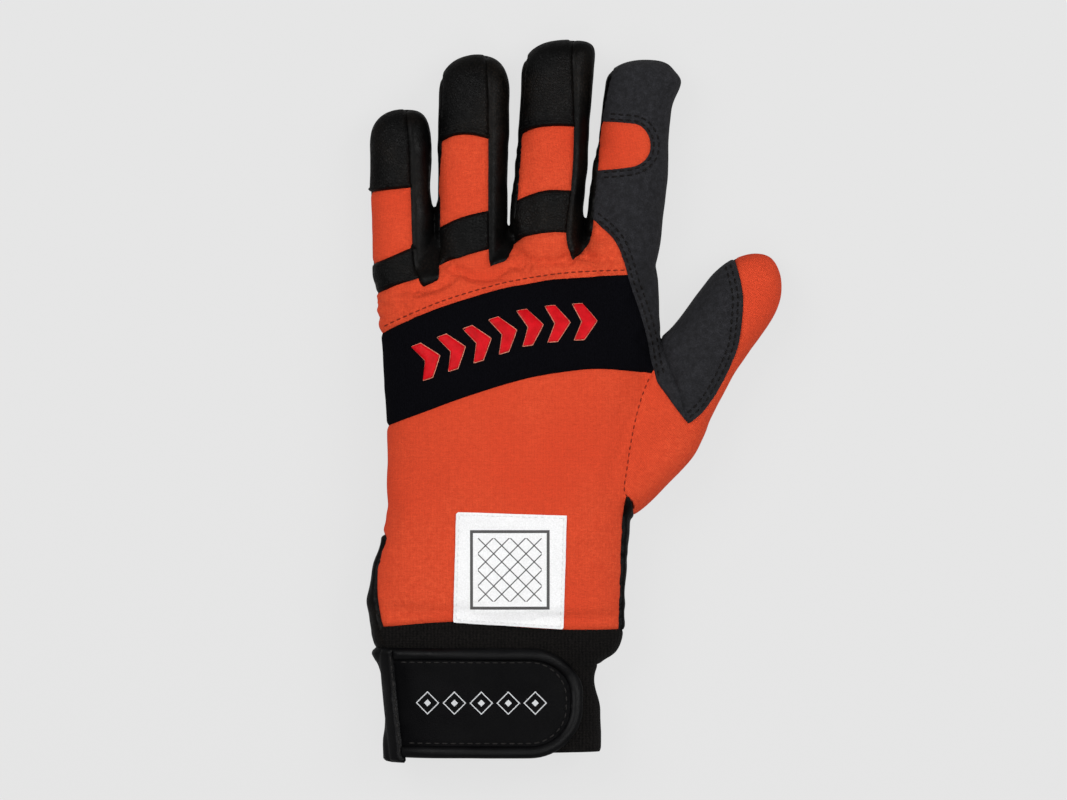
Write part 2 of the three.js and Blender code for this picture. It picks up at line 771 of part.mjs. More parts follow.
// Strap: its sewn edge lies in the binding on the little finger's side, and its
// round end is pressed down on the back of the cuff
const bindingEdge = onCuff({ across: -0.37, down: 0 }).x;
const strapMiddle = mouth - strapOverhang + strapWidth / 2;
function strapOutline(inset) {
  const half = strapWidth / 2 - inset;
  const end = bindingEdge + strapReach - inset;
  const radius = 0.46 * strapWidth - inset;
  const round = (side) => {
    const arc = new THREE.EllipseCurve(
      end - radius,
      strapMiddle + side * (half - radius),
      radius,
      radius,
      side > 0 ? Math.PI / 2 : 0,
      side > 0 ? 0 : -Math.PI / 2,
      true,
    );
    return arc.getPoints(strapCornerFacets);
  };
  const start = bindingEdge + seamGap;
  return outlineOf(
    [corner(start, strapMiddle + half)],
    round(1),
    round(-1),
    [corner(start, strapMiddle - half)],
  );
}
const strapInner = strapOutline(strapEdgeWidth);
const strapHole = outset(strapInner, seamGap).map((p) =>
  p.x < bindingEdge + 2 * seamGap ? corner(p.x - far, p.y) : p,
);
addPiece("strap", layer(strapThickness, strapInner), "strapRubber");
addPiece(
  "strap_edge",
  layer(strapEdgeThickness, strapOutline(0)).subtract(prism(strapHole)),
  "strapRubber",
);

const bindingLeft = bindingEdge - far;
const binding = [
  corner(bindingLeft, mouth - bindingOverhang),
  corner(bindingEdge, mouth - bindingOverhang),
  corner(bindingEdge, strapMiddle + strapWidth / 2),
  corner(bindingLeft, strapMiddle + strapWidth / 2),
];
addPiece("strap_binding", layer(bindingThickness, binding), "strapRubber");

// The origin is under the middle of the glove, on the surface it lies on
const box = new THREE.Box3().setFromObject(glove);
const middle = box.getCenter(new THREE.Vector3());
glove.position.set(-middle.x, -middle.y, -box.min.z);

export default glove;
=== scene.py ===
import math

import bpy
import numpy as np
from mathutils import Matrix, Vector, noise
from mathutils.bvhtree import BVHTree
from mathutils.kdtree import KDTree


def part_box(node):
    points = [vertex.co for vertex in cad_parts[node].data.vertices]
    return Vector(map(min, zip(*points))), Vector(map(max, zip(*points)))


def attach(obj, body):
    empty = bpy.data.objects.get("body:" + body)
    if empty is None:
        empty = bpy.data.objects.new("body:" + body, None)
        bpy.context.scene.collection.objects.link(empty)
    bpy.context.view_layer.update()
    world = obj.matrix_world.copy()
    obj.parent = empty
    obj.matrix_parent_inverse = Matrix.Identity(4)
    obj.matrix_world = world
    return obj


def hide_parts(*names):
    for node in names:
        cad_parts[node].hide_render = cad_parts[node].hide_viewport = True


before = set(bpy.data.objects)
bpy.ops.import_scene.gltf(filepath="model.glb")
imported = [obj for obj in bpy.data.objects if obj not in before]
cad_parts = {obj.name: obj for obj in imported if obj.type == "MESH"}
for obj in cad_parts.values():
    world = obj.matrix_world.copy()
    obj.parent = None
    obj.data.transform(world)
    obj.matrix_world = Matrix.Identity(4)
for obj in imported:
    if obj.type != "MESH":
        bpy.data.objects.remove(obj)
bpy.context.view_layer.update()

bpy.ops.object.select_all(action="DESELECT")

# The glove's form
# What a hand fills the sewn glove out to: a flat-lying palm, four fingers and a thumb.
# Every panel is cut out of this one skin, in millimetres, as from a stuffed glove.

BREADTH, LENGTH, HEIGHT, CUFF = 102, 141, 38, 46
SEAM_HEIGHT = 9
GRAIN, SOFTNESS, SOFTENINGS = 0.8, 0.5, 14

DIGITS = {
    "little": dict(across=-0.368, along=0.946, lean=-2, length=60, breadth=23.2, height=21),
    "ring": dict(across=-0.124, along=0.985, lean=1, length=75, breadth=26.4, height=23),
    "middle": dict(across=0.15, along=1.012, lean=4, length=77, breadth=26.4, height=24),
    "index": dict(across=0.42, along=0.998, lean=7, length=72, breadth=27.6, height=24),
    "thumb": dict(across=0.365, along=0.404, lean=37, length=102, breadth=29, height=27),
}

# along the hand; left and right in shares of the breadth, top of the height
HAND_ROWS = [
    (-1.2 * CUFF / LENGTH, -0.413, 0.354, 0.82),
    (-0.66 * CUFF / LENGTH, -0.418, 0.347, 0.82),
    (-0.32 * CUFF / LENGTH, -0.431, 0.334, 0.81),
    (-0.26 * CUFF / LENGTH, -0.44, 0.352, 0.82),
    (-0.21 * CUFF / LENGTH, -0.449, 0.392, 0.83),
    (-0.12 * CUFF / LENGTH, -0.464, 0.42, 0.86),
    (0, -0.478, 0.431, 0.88),
    (0.074, -0.493, 0.432, 0.9),
    (0.164, -0.482, 0.436, 0.93),
    (0.232, -0.447, 0.445, 0.95),
    (0.3, -0.431, 0.456, 0.97),
    (0.391, -0.426, 0.474, 0.99),
    (0.497, -0.427, 0.504, 1),
    (0.602, -0.438, 0.533, 1),
    (0.718, -0.445, 0.556, 0.99),
    (0.798, -0.455, 0.562, 0.95),
    (0.866, -0.468, 0.559, 0.87),
    (0.93, -0.47, 0.556, 0.76),
    (0.983, -0.45, 0.535, 0.62),
    (1.025, -0.41, 0.5, 0.48),
    (1.06, -0.35, 0.46, 0.36),
]
# along the digit; side and half in shares of its breadth, foot and top of its height
FINGER_ROWS = [
    (-0.36, 0, 0.3, 0.4, 1.3),
    (-0.1, 0, 0.47, 0, 1.22),
    (0.16, 0, 0.5, 0, 1.08),
    (0.46, 0, 0.5, 0, 0.98),
]
INDEX_ROWS = [
    (-0.36, -0.05, 0.3, 0.4, 1.3),
    (-0.1, 0, 0.47, 0, 1.2),
    (0.16, 0.02, 0.5, 0, 1.06),
    (0.4, 0.02, 0.49, 0, 0.99),
    (0.66, -0.01, 0.46, 0, 0.94),
]
THUMB_ROWS = [
    (-0.27, -0.1, 0.4, 0.3, 1.16),
    (-0.077, -0.07, 0.65, 0, 1.18),
    (0.1, 0.01, 0.68, 0, 1.14),
    (0.245, 0.085, 0.67, 0, 1.09),
    (0.4, 0.063, 0.583, 0, 1.04),
    (0.6, 0.045, 0.49, 0, 0.99),
]
LITTLE_ROWS = [
    *FINGER_ROWS[:3],
    (0.36, 0, 0.5, 0, 1.0),
    (0.5, -0.02, 0.48, 0, 0.98),
    (0.66, 0.01, 0.49, 0, 0.98),
]
DIGIT_ROWS = {"little": LITTLE_ROWS, "index": INDEX_ROWS, "thumb": THUMB_ROWS}
# where a tip begins to close, how square it is, and how far its point lies aside
TIPS = {
    "little": (0.76, 2.7, 0.08),
    "ring": (0.77, 2.5, 0.05),
    "middle": (0.8, 3.0, 0.2),
    "index": (0.845, 2.4, 0.17),
    "thumb": (0.78, 1.9, -0.03),
}
SQUARENESS, WIDEST, BELLY, TIP_DROOP = 2.4, 0.42, 1.25, 0.5
OVER, UNDER, HAND_STEPS, BODY_STEPS, TIP_STEPS, TIP_CLOSED = 40, 22, 150, 60, 16, 0.985
# the fold of suede that makes a corner on the index finger's tip: along, how long, how far out,
# and how much shorter it is towards the tip
CORNER = (0.915, 0.085, 0.055, 0.45)

# across, along, turn in degrees, reach, width, depth
DENTS = [
    (0, 0.01, 0, 0.6, 0.07, 0.05),
    (0.26, 0.36, 60, 0.35, 0.14, 0.035),
    (-0.3, 0.42, -70, 0.4, 0.16, 0.03),
    (-0.36, 0.84, 35, 0.16, 0.07, -0.04),
    (0.02, 0.63, 12, 0.6, 0.1, 0.02),
]


def on_hand(points):
    return np.array(points, float) * (BREADTH, LENGTH)


def on_cuff(points):
    return np.array(points, float) * (BREADTH, -CUFF)


def headings(name):
    lean = math.radians(DIGITS[name]["lean"])
    return np.array([math.sin(lean), math.cos(lean)]), np.array([math.cos(lean), -math.sin(lean)])


def on_digit(name, points):
    """Points given as (along, across) shares of a digit."""
    d = DIGITS[name]
    ahead, aside = headings(name)
    points = np.array(points, float)
    root = on_hand((d["across"], d["along"]))
    return root + points[:, :1] * d["length"] * ahead + points[:, 1:] * d["breadth"] * aside


def between_rows(rows, at):
    """Values of a table at places between its rows, on a smooth line through them."""
    rows = np.array(rows, float)
    key, values = rows[:, 0], rows[:, 1:]
    slope = np.gradient(values, key, axis=0)
    i = np.clip(np.searchsorted(key, at, side="right") - 1, 0, len(key) - 2)
    gap = (key[i + 1] - key[i])[:, None]
    t = (np.asarray(at) - key[i])[:, None] / gap
    return (
        (2 * t**3 - 3 * t**2 + 1) * values[i]
        + (t**3 - 2 * t**2 + t) * gap * slope[i]
        + (3 * t**2 - 2 * t**3) * values[i + 1]
        + (t**3 - t**2) * gap * slope[i + 1]
    )


def dent_depth(x, y):
    depth = np.zeros_like(x)
    for across, along, turn, reach, width, share in DENTS:
        angle = math.radians(turn)
        dx, dy = x - across * BREADTH, y - along * LENGTH
        far = np.hypot(
            (dx * math.cos(angle) + dy * math.sin(angle)) / (reach * BREADTH),
            (dy * math.cos(angle) - dx * math.sin(angle)) / (width * BREADTH),
        )
        depth += share * HEIGHT * np.where(far < 1, (1 - far**2) ** 2, 0)
    return depth


def closed_form(centre, ahead, half, top, floor):
    """A closed tube through flat-bottomed rounded sections: its points and faces."""
    turn = np.concatenate(
        [np.linspace(0, math.pi, OVER, False), np.linspace(math.pi, 2 * math.pi, UNDER, False)]
    )
    spread, lift = (np.sign(v) * abs(v) ** (2 / SQUARENESS) for v in (np.cos(turn), np.sin(turn)))
    aside = np.array([ahead[1], -ahead[0]])
    flat = centre[:, None, :] + (half[:, None] * spread)[..., None] * aside
    middle = (WIDEST * (top + floor))[:, None]
    raised = middle + lift * (top[:, None] - middle) - dent_depth(*flat.transpose(2, 0, 1)) * lift
    lower = np.maximum(middle * (1 + BELLY * lift), floor[:, None])
    rings = np.concatenate([flat, np.where(lift > 0, raised, lower)[..., None]], axis=2)
    around = len(turn)
    points = np.concatenate([rings.reshape(-1, 3), rings[[0, -1]].mean(axis=1)])
    start = np.arange(around)
    after = (start + 1) % around
    faces = []
    for row in range(len(rings) - 1):
        a, b = row * around + start, row * around + after
        faces += [np.stack([a, a + around, b], 1), np.stack([b, a + around, b + around], 1)]
    first, last = np.full(around, len(points) - 2), np.full(around, len(points) - 1)
    end = (len(rings) - 1) * around
    faces += [np.stack([first, start, after], 1), np.stack([last, end + after, end + start], 1)]
    return points, np.concatenate(faces)


def hand_form():
    along = np.linspace(HAND_ROWS[0][0], HAND_ROWS[-1][0], HAND_STEPS)
    left, right, top = between_rows(HAND_ROWS, along).T
    centre = np.stack([(left + right) / 2 * BREADTH, along * LENGTH], 1)
    half = (right - left) / 2 * BREADTH
    return closed_form(centre, (0, 1), half, top * HEIGHT, np.zeros_like(top))


def digit_form(name):
    d, rows = DIGITS[name], DIGIT_ROWS.get(name, FINGER_ROWS)
    start, squareness, side = TIPS[name]
    rows = [*rows, (start, *rows[-1][1:])]
    body = np.linspace(rows[0][0], start, BODY_STEPS)
    close = np.sin(np.linspace(0, 1, TIP_STEPS)[1:] * math.pi / 2 * TIP_CLOSED)
    round_ = np.concatenate([np.ones(BODY_STEPS), (1 - close**squareness) ** (1 / squareness)])
    along = np.concatenate([body, start + (1 - start) * close])
    values = between_rows(rows, np.minimum(along, start))
    values[BODY_STEPS:, 0] += side * close**3
    if name == "index":
        at, long, out, shorter = CORNER
        reach = np.where(along < at, long, shorter * long)
        values[:, :2] += out * np.exp(-(((along - at) / reach) ** 2))[:, None]
    foot, top = np.maximum(values[:, 2], 0) * d["height"], values[:, 3] * d["height"]
    droop = WIDEST * TIP_DROOP * (top + foot) * (1 - round_)
    level = WIDEST * (top + foot)
    return closed_form(
        on_digit(name, np.stack([along, values[:, 0]], 1)),
        headings(name)[0],
        values[:, 1] * d["breadth"] * round_,
        level + (top - level) * round_,
        foot + droop,
    )


def new_object(name, points, faces):
    mesh = bpy.data.meshes.new(name)
    mesh.from_pydata(points, [], faces)
    obj = bpy.data.objects.new(name, mesh)
    bpy.context.scene.collection.objects.link(obj)
    bpy.context.view_layer.objects.active = obj
    return obj


def numbers(items, what, kind=np.float32, wide=3):
    """A value or a vector from each item of a mesh."""
    flat = np.empty(len(items) * wide, kind)
    items.foreach_get(what, flat)
    return flat.reshape(-1, wide) if wide > 1 else flat


def lengths(vectors):
    return np.linalg.norm(vectors, axis=-1)


def unit(vectors):
    return vectors / np.maximum(lengths(vectors), 1e-9)[..., None]


def outward(points, faces):
    """Each point's direction away from the surface."""
    a, b, c = points[faces].transpose(1, 0, 2)
    across = np.cross(b - a, c - a)
    total = np.zeros_like(points)
    for corner in range(3):
        np.add.at(total, faces[:, corner], across)
    return unit(total)


forms = [hand_form(), *(digit_form(name) for name in DIGITS)]
offsets = np.cumsum([0] + [len(points) for points, _ in forms[:-1]])
stuffed = new_object(
    "stuffed_glove",
    np.concatenate([points for points, _ in forms]).tolist(),
    np.concatenate([faces + offset for (_, faces), offset in zip(forms, offsets)]).tolist(),
)
remesh = stuffed.modifiers.new("even", "REMESH")
remesh.mode, remesh.voxel_size = "VOXEL", GRAIN
soften = stuffed.modifiers.new("soften", "SMOOTH")
soften.factor, soften.iterations = SOFTNESS, SOFTENINGS
bpy.ops.object.modifier_apply(modifier="even")
bpy.ops.object.modifier_apply(modifier="soften")
stuffed.data.calc_loop_triangles()
skin = numbers(stuffed.data.vertices, "co").astype(float)
weave = numbers(stuffed.data.loop_triangles, "vertices", np.int32)
bpy.data.objects.remove(stuffed)

# Folds: lines in hand shares, how wide and how deep they press in; minus swells out.
# Beside each runs a low bank, so many widths away.
BANK, BANK_AWAY, FOLD_ENDS = 0.35, 1.9, 0.15
RIPPLES = ((15, 0.55), (6, 0.16))
UPPER_FROM, UPPER_OVER = 5, 8
FOLDS = [
    ([(0.52, 0.76), (0.6, 0.665), (0.545, 0.6)], 3.2, 1.5),
    ([(0.6, 0.67), (0.66, 0.7), (0.7, 0.74)], 2.6, 1.2),
    ([(0.44, 0.4), (0.52, 0.47), (0.62, 0.52)], 5, 0.9),
    ([(0.36, 0.28), (0.44, 0.38), (0.5, 0.44)], 6, 0.7),
    ([(-0.47, 0.86), (-0.42, 0.846), (-0.35, 0.85)], 1.6, 0.9),
    ([(-0.47, 0.825), (-0.42, 0.82), (-0.36, 0.83)], 1.5, 0.8),
    ([(-0.46, 0.9), (-0.38, 0.89), (-0.26, 0.905)], 2.2, 0.7),
    ([(-0.44, 0.3), (-0.36, 0.34), (-0.25, 0.36)], 4, 0.6),
    ([(-0.43, 0.2), (-0.32, 0.23), (-0.2, 0.3)], 4, 0.5),
    ([(0.24, 0.2), (0.34, 0.22), (0.43, 0.2)], 3.5, 0.5),
    ([(-0.46, 0.05), (-0.3, 0.045), (-0.1, 0.05)], 2.4, 0.7),
    ([(0.1, 0.035), (0.28, 0.03), (0.42, 0.035)], 2.2, 0.6),
    ([(-0.3, 0.45), (-0.05, 0.52), (0.2, 0.5)], 9, 0.5),
    ([(0.05, 0.985), (0.1, 0.968), (0.17, 0.965), (0.23, 0.972)], 1.8, 1.5),
    ([(0.28, 0.985), (0.34, 0.972), (0.42, 0.98)], 2.0, 1.1),
    ([(-0.2, 0.955), (-0.11, 0.925), (0.0, 0.93)], 1.8, 1.6),
    ([(-0.19, 0.925), (-0.24, 0.9), (-0.32, 0.885)], 1.8, 1.3),
    ([(-0.02, 0.945), (0.03, 0.955), (0.08, 0.95)], 1.6, 1.2),
    ([(-0.265, 1.24), (-0.255, 1.17), (-0.25, 1.12)], 2.4, 0.6),
    ([(0.05, 1.25), (0.046, 1.14), (0.044, 1.06)], 2.6, -0.7),
    ([(0.046, 1.16), (0.044, 1.06)], 2.6, -0.6),
    ([(0.34, 1.25), (0.33, 1.13), (0.325, 1.06)], 2.6, -0.7),
    ([(0.33, 1.15), (0.325, 1.06)], 2.6, -0.6),
    ([(-0.5, 0.03), (-0.48, -0.04), (-0.46, -0.09)], 7, -1.3),
]


def away_from(points, line):
    """Distance of plan points from a line of plan points."""
    near = np.full(len(points), np.inf)
    for a, b in zip(line[:-1], line[1:]):
        ab = b - a
        t = np.clip((points - a) @ ab / max(ab @ ab, 1e-9), 0, 1)
        near = np.minimum(near, lengths(points - a - t[:, None] * ab))
    return near


def seam(points, steps=10):
    """A smooth line through plan points."""
    points = np.array(points, float)
    ends = np.concatenate([points[:1], points, points[-1:]])
    line = []
    for i in range(len(points) - 1):
        p0, p1, p2, p3 = ends[i : i + 4]
        t = np.linspace(0, 1, steps, False)[:, None]
        v0, v1 = (p2 - p0) / 2, (p3 - p1) / 2
        line.append(
            (2 * p1 - 2 * p2 + v0 + v1) * t**3 + (3 * p2 - 3 * p1 - 2 * v0 - v1) * t**2 + v0 * t + p1
        )
    return np.concatenate([*line, points[-1:]])


facing = outward(skin, weave)
press = np.zeros(len(skin))
for line, width, depth in FOLDS:
    path = seam(on_hand(line), 6)
    far = away_from(skin[:, :2], path) / width
    ends = np.minimum(*(lengths(skin[:, :2] - end) for end in path[[0, -1]]))
    bank = BANK * np.exp(-((far - BANK_AWAY) ** 2))
    press += depth * (np.exp(-(far**2)) - bank) * np.clip(ends / width, FOLD_ENDS, 1)
ripple = np.array([sum(noise.noise(Vector(p / long)) * high for long, high in RIPPLES) for p in skin])
upper = np.clip((skin[:, 2] - UPPER_FROM) / UPPER_OVER, 0, 1)
skin += facing * ((ripple - press) * upper)[:, None]
facing = outward(skin, weave)
hide = np.concatenate([skin, facing], axis=1)
whole_hide, whole_weave = hide, weave


# Cuff and wrist band
# A black knitted cuff, open at the mouth, and a knitted band above it that takes the seam
# of the back. Both are whole rings of rib knit, overlocked on to the glove.


SAME_POINT = 0.05


def split(hide, faces, level, snap=0.0):
    """Cuts the faces along the line where level is nought."""
    level = np.where(abs(level) < snap, 0, level)
    side = np.sign(level)[faces]
    crossing = (side.min(1) < 0) & (side.max(1) > 0)
    tri, s = faces[crossing], side[crossing]
    cut = s * np.roll(s, -1, axis=1) < 0
    pairs = np.sort(np.stack([tri, np.roll(tri, -1, axis=1)], 2), axis=2)
    ends, which = np.unique(pairs[cut].reshape(-1, 2), axis=0, return_inverse=True)
    share = (level[ends[:, 0]] / (level[ends[:, 0]] - level[ends[:, 1]]))[:, None]
    fresh = hide[ends[:, 0]] * (1 - share) + hide[ends[:, 1]] * share
    number = np.full(cut.shape, -1)
    number[cut] = len(hide) + which.ravel()
    made = [faces[~crossing]]
    for k in range(3):
        b, c = (k + 1) % 3, (k + 2) % 3
        lone = cut[:, k] & cut[:, c]
        p, q, r, pq, rp = tri[lone, k], tri[lone, b], tri[lone, c], number[lone, k], number[lone, c]
        made += [np.stack(x, 1) for x in ((p, pq, rp), (pq, q, r), (pq, r, rp))]
        one = cut[:, b] & ~cut[:, k] & ~cut[:, c]
        p, q, r, qr = tri[one, k], tri[one, b], tri[one, c], number[one, b]
        made += [np.stack(x, 1) for x in ((p, q, qr), (p, qr, r))]
    return (
        np.concatenate([hide, fresh]),
        np.concatenate(made),
        np.concatenate([level, np.zeros(len(fresh))]),
    )


def outline(*seams):
    """One closed line through some seams, without the points that two of them share."""
    points = np.concatenate(seams)
    return points[lengths(points - np.roll(points, 1, axis=0)) > SAME_POINT]


def inside(points, shape):
    """Distance of plan points from a closed outline, below nought inside it, and the near point."""
    near, spot = np.full(len(points), np.inf), np.zeros((len(points), 2))
    within = np.zeros(len(points), bool)
    for a, b in zip(shape, np.roll(shape, -1, axis=0)):
        ab = b - a
        t = np.clip((points - a) @ ab / (ab @ ab), 0, 1)
        foot = a + t[:, None] * ab
        far = lengths(points - foot)
        closer = far < near
        near[closer], spot[closer] = far[closer], foot[closer]
        if a[1] != b[1]:
            level = (points[:, 1] - a[1]) / (b[1] - a[1])
            spans = (a[1] > points[:, 1]) != (b[1] > points[:, 1])
            within ^= spans & (points[:, 0] < a[0] + level * (b[0] - a[0]))
    return np.where(within, -near, near), spot


NEAR_SEAM = 0.22 * GRAIN


class Cloth:
    """What is left of the hide as one panel after another is cut out of it."""

    def __init__(self, faces):
        self.faces = faces

    def cut(self, shape):
        """The faces inside an outline, taken out of the cloth."""
        used = np.unique(self.faces)
        level, spot = inside(hide[used, :2], shape)
        return self.part(used, level, slice(0, 2), spot)

    def below(self, axis, value):
        """The faces under a height or a line across, taken out of the cloth."""
        used = np.unique(self.faces)
        spot = np.full((len(used), 1), value)
        return self.part(used, hide[used, axis] - value, slice(axis, axis + 1), spot)

    def part(self, used, level, axes, spot):
        """The faces whose level is below nought, once the points beside the cut lie on it."""
        global hide
        pull = abs(level) < NEAR_SEAM
        hide[used[pull], axes] = spot[pull]
        level[pull] = 0
        field = np.ones(len(hide))
        field[used] = level
        hide, self.faces, field = split(hide, self.faces, field)
        taken = field[self.faces].min(1) < 0
        piece, self.faces = self.faces[taken], self.faces[~taken]
        return largest(piece)


def largest(faces):
    """The biggest connected part of some faces."""
    used, local = np.unique(faces, return_inverse=True)
    local = local.reshape(-1, 3)
    label = np.arange(len(used))
    while True:
        lowest = label[local].min(1)
        fresh = label.copy()
        for corner in range(3):
            np.minimum.at(fresh, local[:, corner], lowest)
        fresh = fresh[fresh]
        if (fresh == label).all():
            break
        label = fresh
    groups = label[local[:, 0]]
    return faces[groups == np.bincount(groups).argmax()]


class Value:
    """A shader socket in an expression, which adds its own Math nodes."""

    def __init__(self, socket):
        self.socket = socket

    def result(self, operation, first, second):
        tree = self.socket.id_data
        node = tree.nodes.new("ShaderNodeMath")
        node.operation = operation
        for place, value in zip(node.inputs, (first, second)):
            if isinstance(value, Value):
                tree.links.new(value.socket, place)
            else:
                place.default_value = value
        return Value(node.outputs[0])

    def __add__(self, other):
        return self.result("ADD", self, other)

    def __radd__(self, other):
        return self.result("ADD", other, self)

    def __sub__(self, other):
        return self.result("SUBTRACT", self, other)

    def __rsub__(self, other):
        return self.result("SUBTRACT", other, self)

    def __mul__(self, other):
        return self.result("MULTIPLY", self, other)

    def __rmul__(self, other):
        return self.result("MULTIPLY", other, self)


def paint(red, green, blue):
    """A colour given as on a screen, 0 to 255."""
    shares = (v / 255 for v in (red, green, blue))
    return (*(v / 12.92 if v <= 0.04045 else ((v + 0.055) / 1.055) ** 2.4 for v in shares), 1)


class Finish:
    """A material whose nodes are made one by one, and the record's slot that it shows."""

    def __init__(self, name, slot=None, **constants):
        self.slot = slot
        self.material = bpy.data.materials.new(name)
        self.material.use_nodes = True
        self.tree = self.material.node_tree
        self.shader = self.tree.nodes["Principled BSDF"]
        for socket, value in constants.items():
            self.shader.inputs[socket.replace("_", " ")].default_value = value

    def node(self, kind, settings, sockets, output=0):
        made = self.tree.nodes.new("ShaderNode" + kind)
        for key, value in settings.items():
            setattr(made, key, value)
        for key, value in sockets.items():
            if isinstance(value, Value):
                self.tree.links.new(value.socket, made.inputs[key])
            else:
                made.inputs[key].default_value = value
        return Value(made.outputs[output])

    def place(self, kind="Object"):
        return self.node("TexCoord", {}, {}, kind)

    def speckle(self, where, scale, detail=3.0, rough=0.55, stretch=(1, 1, 1)):
        spread = self.node("Mapping", {}, {"Vector": where, "Scale": stretch})
        return self.node(
            "TexNoise", {}, {"Vector": spread, "Scale": scale, "Detail": detail, "Roughness": rough}
        )

    def tint(self, share, low, high):
        """A colour between two, by a share of the second."""
        return self.node("Mix", {"data_type": "RGBA"}, {0: share, 6: low, 7: high}, 2)

    def between(self, value, low=0.3, high=0.7, to_low=0.0, to_high=1.0):
        return self.node(
            "MapRange",
            {"clamp": True},
            {"Value": value, "From Min": low, "From Max": high, "To Min": to_low, "To Max": to_high},
        )

    def wave(self, where, direction, scale, distortion, detail_scale=2):
        """Rows of threads that waver a little."""
        return self.node("TexWave", {"bands_direction": direction}, {
            "Vector": where, "Scale": scale, "Distortion": distortion, "Detail": 2,
            "Detail Scale": detail_scale})

    def maths(self, operation, *values):
        return self.node("Math", {"operation": operation}, dict(enumerate(values)))

    def across_and_along(self, middle):
        """The two plan distances from a point given in the glove's millimetres."""
        x, y = in_frame(middle)
        centred = self.node("Mapping", {}, {"Vector": self.place(), "Location": (-x, -y, 0)})
        return (self.node("SeparateXYZ", {}, {"Vector": centred}, axis) for axis in (0, 1))

    def dress(self, colour, rough, height=None, depth=0.0):
        """The finish with its colour, its roughness and its relief, whose depth is in metres."""
        sockets = {"Base Color": colour, "Roughness": rough}
        if height:
            bump = {"Height": height, "Strength": 1.0, "Distance": depth}
            sockets["Normal"] = self.node("Bump", {}, bump)
        for name, value in sockets.items():
            self.tree.links.new(value.socket, self.shader.inputs[name])
        return self


# From the glove's own millimetres to the frame's metres
binding_low, binding_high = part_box("strap_binding")
BINDING_EDGE = -0.37 * BREADTH
BINDING_FOOT = -CUFF - 4
SHIFT = np.array([binding_high.x * 1000 - BINDING_EDGE, binding_low.y * 1000 - BINDING_FOOT, 0])


def in_frame(spot):
    return ((np.array(spot) + SHIFT[:2]) / 1000).tolist()


def cut_edges(faces):
    """The edges round a panel, as pairs of points."""
    pairs = np.sort(np.concatenate([faces[:, [0, 1]], faces[:, [1, 2]], faces[:, [2, 0]]]), axis=1)
    edges, uses = np.unique(pairs, axis=0, return_counts=True)
    return edges[uses == 1]


def from_edge(points, faces):
    """How far each point is from its panel's edge, and the edges."""
    edges = cut_edges(faces)
    marks = np.concatenate([points[np.unique(edges)], points[edges].mean(axis=1)])
    tree = KDTree(len(marks))
    for i, mark in enumerate(marks):
        tree.insert(mark, i)
    tree.balance()
    far = np.array([tree.find(p)[2] for p in points])
    far[np.unique(edges)] = 0
    return far, edges


THREAD_WIDTH, TRIMMINGS = 0.2 * GRAIN, 3


def trimmed(faces):
    """The faces without the threads of cloth that a cut leaves along its edge."""
    for _ in range(TRIMMINGS):
        points = hide[:, :3]
        rim = np.zeros(len(hide), bool)
        rim[np.unique(cut_edges(faces))] = True
        a, b, c = points[faces].transpose(1, 0, 2)
        longest = np.max([lengths(p - q) for p, q in ((a, b), (b, c), (c, a))], axis=0)
        height = lengths(np.cross(b - a, c - a)) / np.maximum(longest, 1e-6)
        faces = largest(faces[~(rim[faces].all(1) & (height < THREAD_WIDTH))])
    return faces


WELD, MEET, RIM_ROUND = 0.07, 0.08, 55
SEAM_SNAP, CROWN_REACH, CALM_REACH, CALM_SINK = 0.12, 5, 4, 0.3


def sew(
    name, faces, finish, wall=1.9, flat=None, fill=None, proud=0.0, drop=0.75,
    roll=1.7, crown=0.25, rolls=(0.45, 1.15), turn=0, shape=None, lips=(), calm=(),
):
    """A panel as sewn in: its edges sink into the seams, its wall is turned inwards.

    flat is the width, length and area that it was cut to; it is not used. All sizes are in millimetres.
    """
    used, local = np.unique(trimmed(faces), return_inverse=True)
    cloth, local = hide[used], local.reshape(-1, 3)
    for ring in rolls:
        far, _ = from_edge(cloth[:, :3], local)
        cloth, local, _ = split(cloth, local, far - ring, SEAM_SNAP)
    far, edges = from_edge(cloth[:, :3], local)
    points, away = cloth[:, :3].copy(), unit(cloth[:, 3:])
    middles = points[local].mean(axis=1)
    pull = np.zeros_like(points)
    for corner in range(3):
        np.add.at(pull, local[:, corner], middles - points[local[:, corner]])
    rim = np.unique(edges)
    points[rim] -= MEET * unit(pull)[rim]
    sink = np.full(len(points), drop)
    for line in calm:
        sink *= np.clip(away_from(points[:, :2], line) / CALM_REACH, CALM_SINK, 1)
    lift = proud + crown * (1 - np.exp(-far / CROWN_REACH)) - sink * (1 - np.clip(far / roll, 0, 1)) ** 2
    if shape:
        lift = shape(far, points)
    for line, height, width in lips:
        near = away_from(points[:, :2], line)
        lift += height * np.sqrt(np.clip(1 - ((near - width / 2) / (width / 2)) ** 2, 0, 1))
    points = (points + away * lift[:, None] + SHIFT) / 1000
    obj = new_object(name, points.tolist(), local.tolist())
    obj.data.shade_smooth()
    weld = obj.modifiers.new("weld", "WELD")
    weld.merge_threshold = WELD / 1000
    bpy.ops.object.modifier_apply(modifier="weld")
    thick = obj.modifiers.new("wall", "SOLIDIFY")
    thick.thickness, thick.offset = wall / 1000, -1
    bpy.ops.object.modifier_apply(modifier="wall")
    obj.select_set(True)
    bpy.ops.object.shade_smooth_by_angle(angle=math.radians(RIM_ROUND))
    obj.select_set(False)
    lay_cloth_map(obj.data, turn)
    take_finish(obj, finish)
    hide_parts(name.rsplit("_", 1)[0])
    if fill is not None:
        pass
    elif flat:
        wide, long, area = flat
        wide / 1000
        long / 1000
        area / 1e6


def take_finish(obj, finish):
    obj.data.materials.append(finish.material)
    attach(obj, "root")


STEEP = 0.55


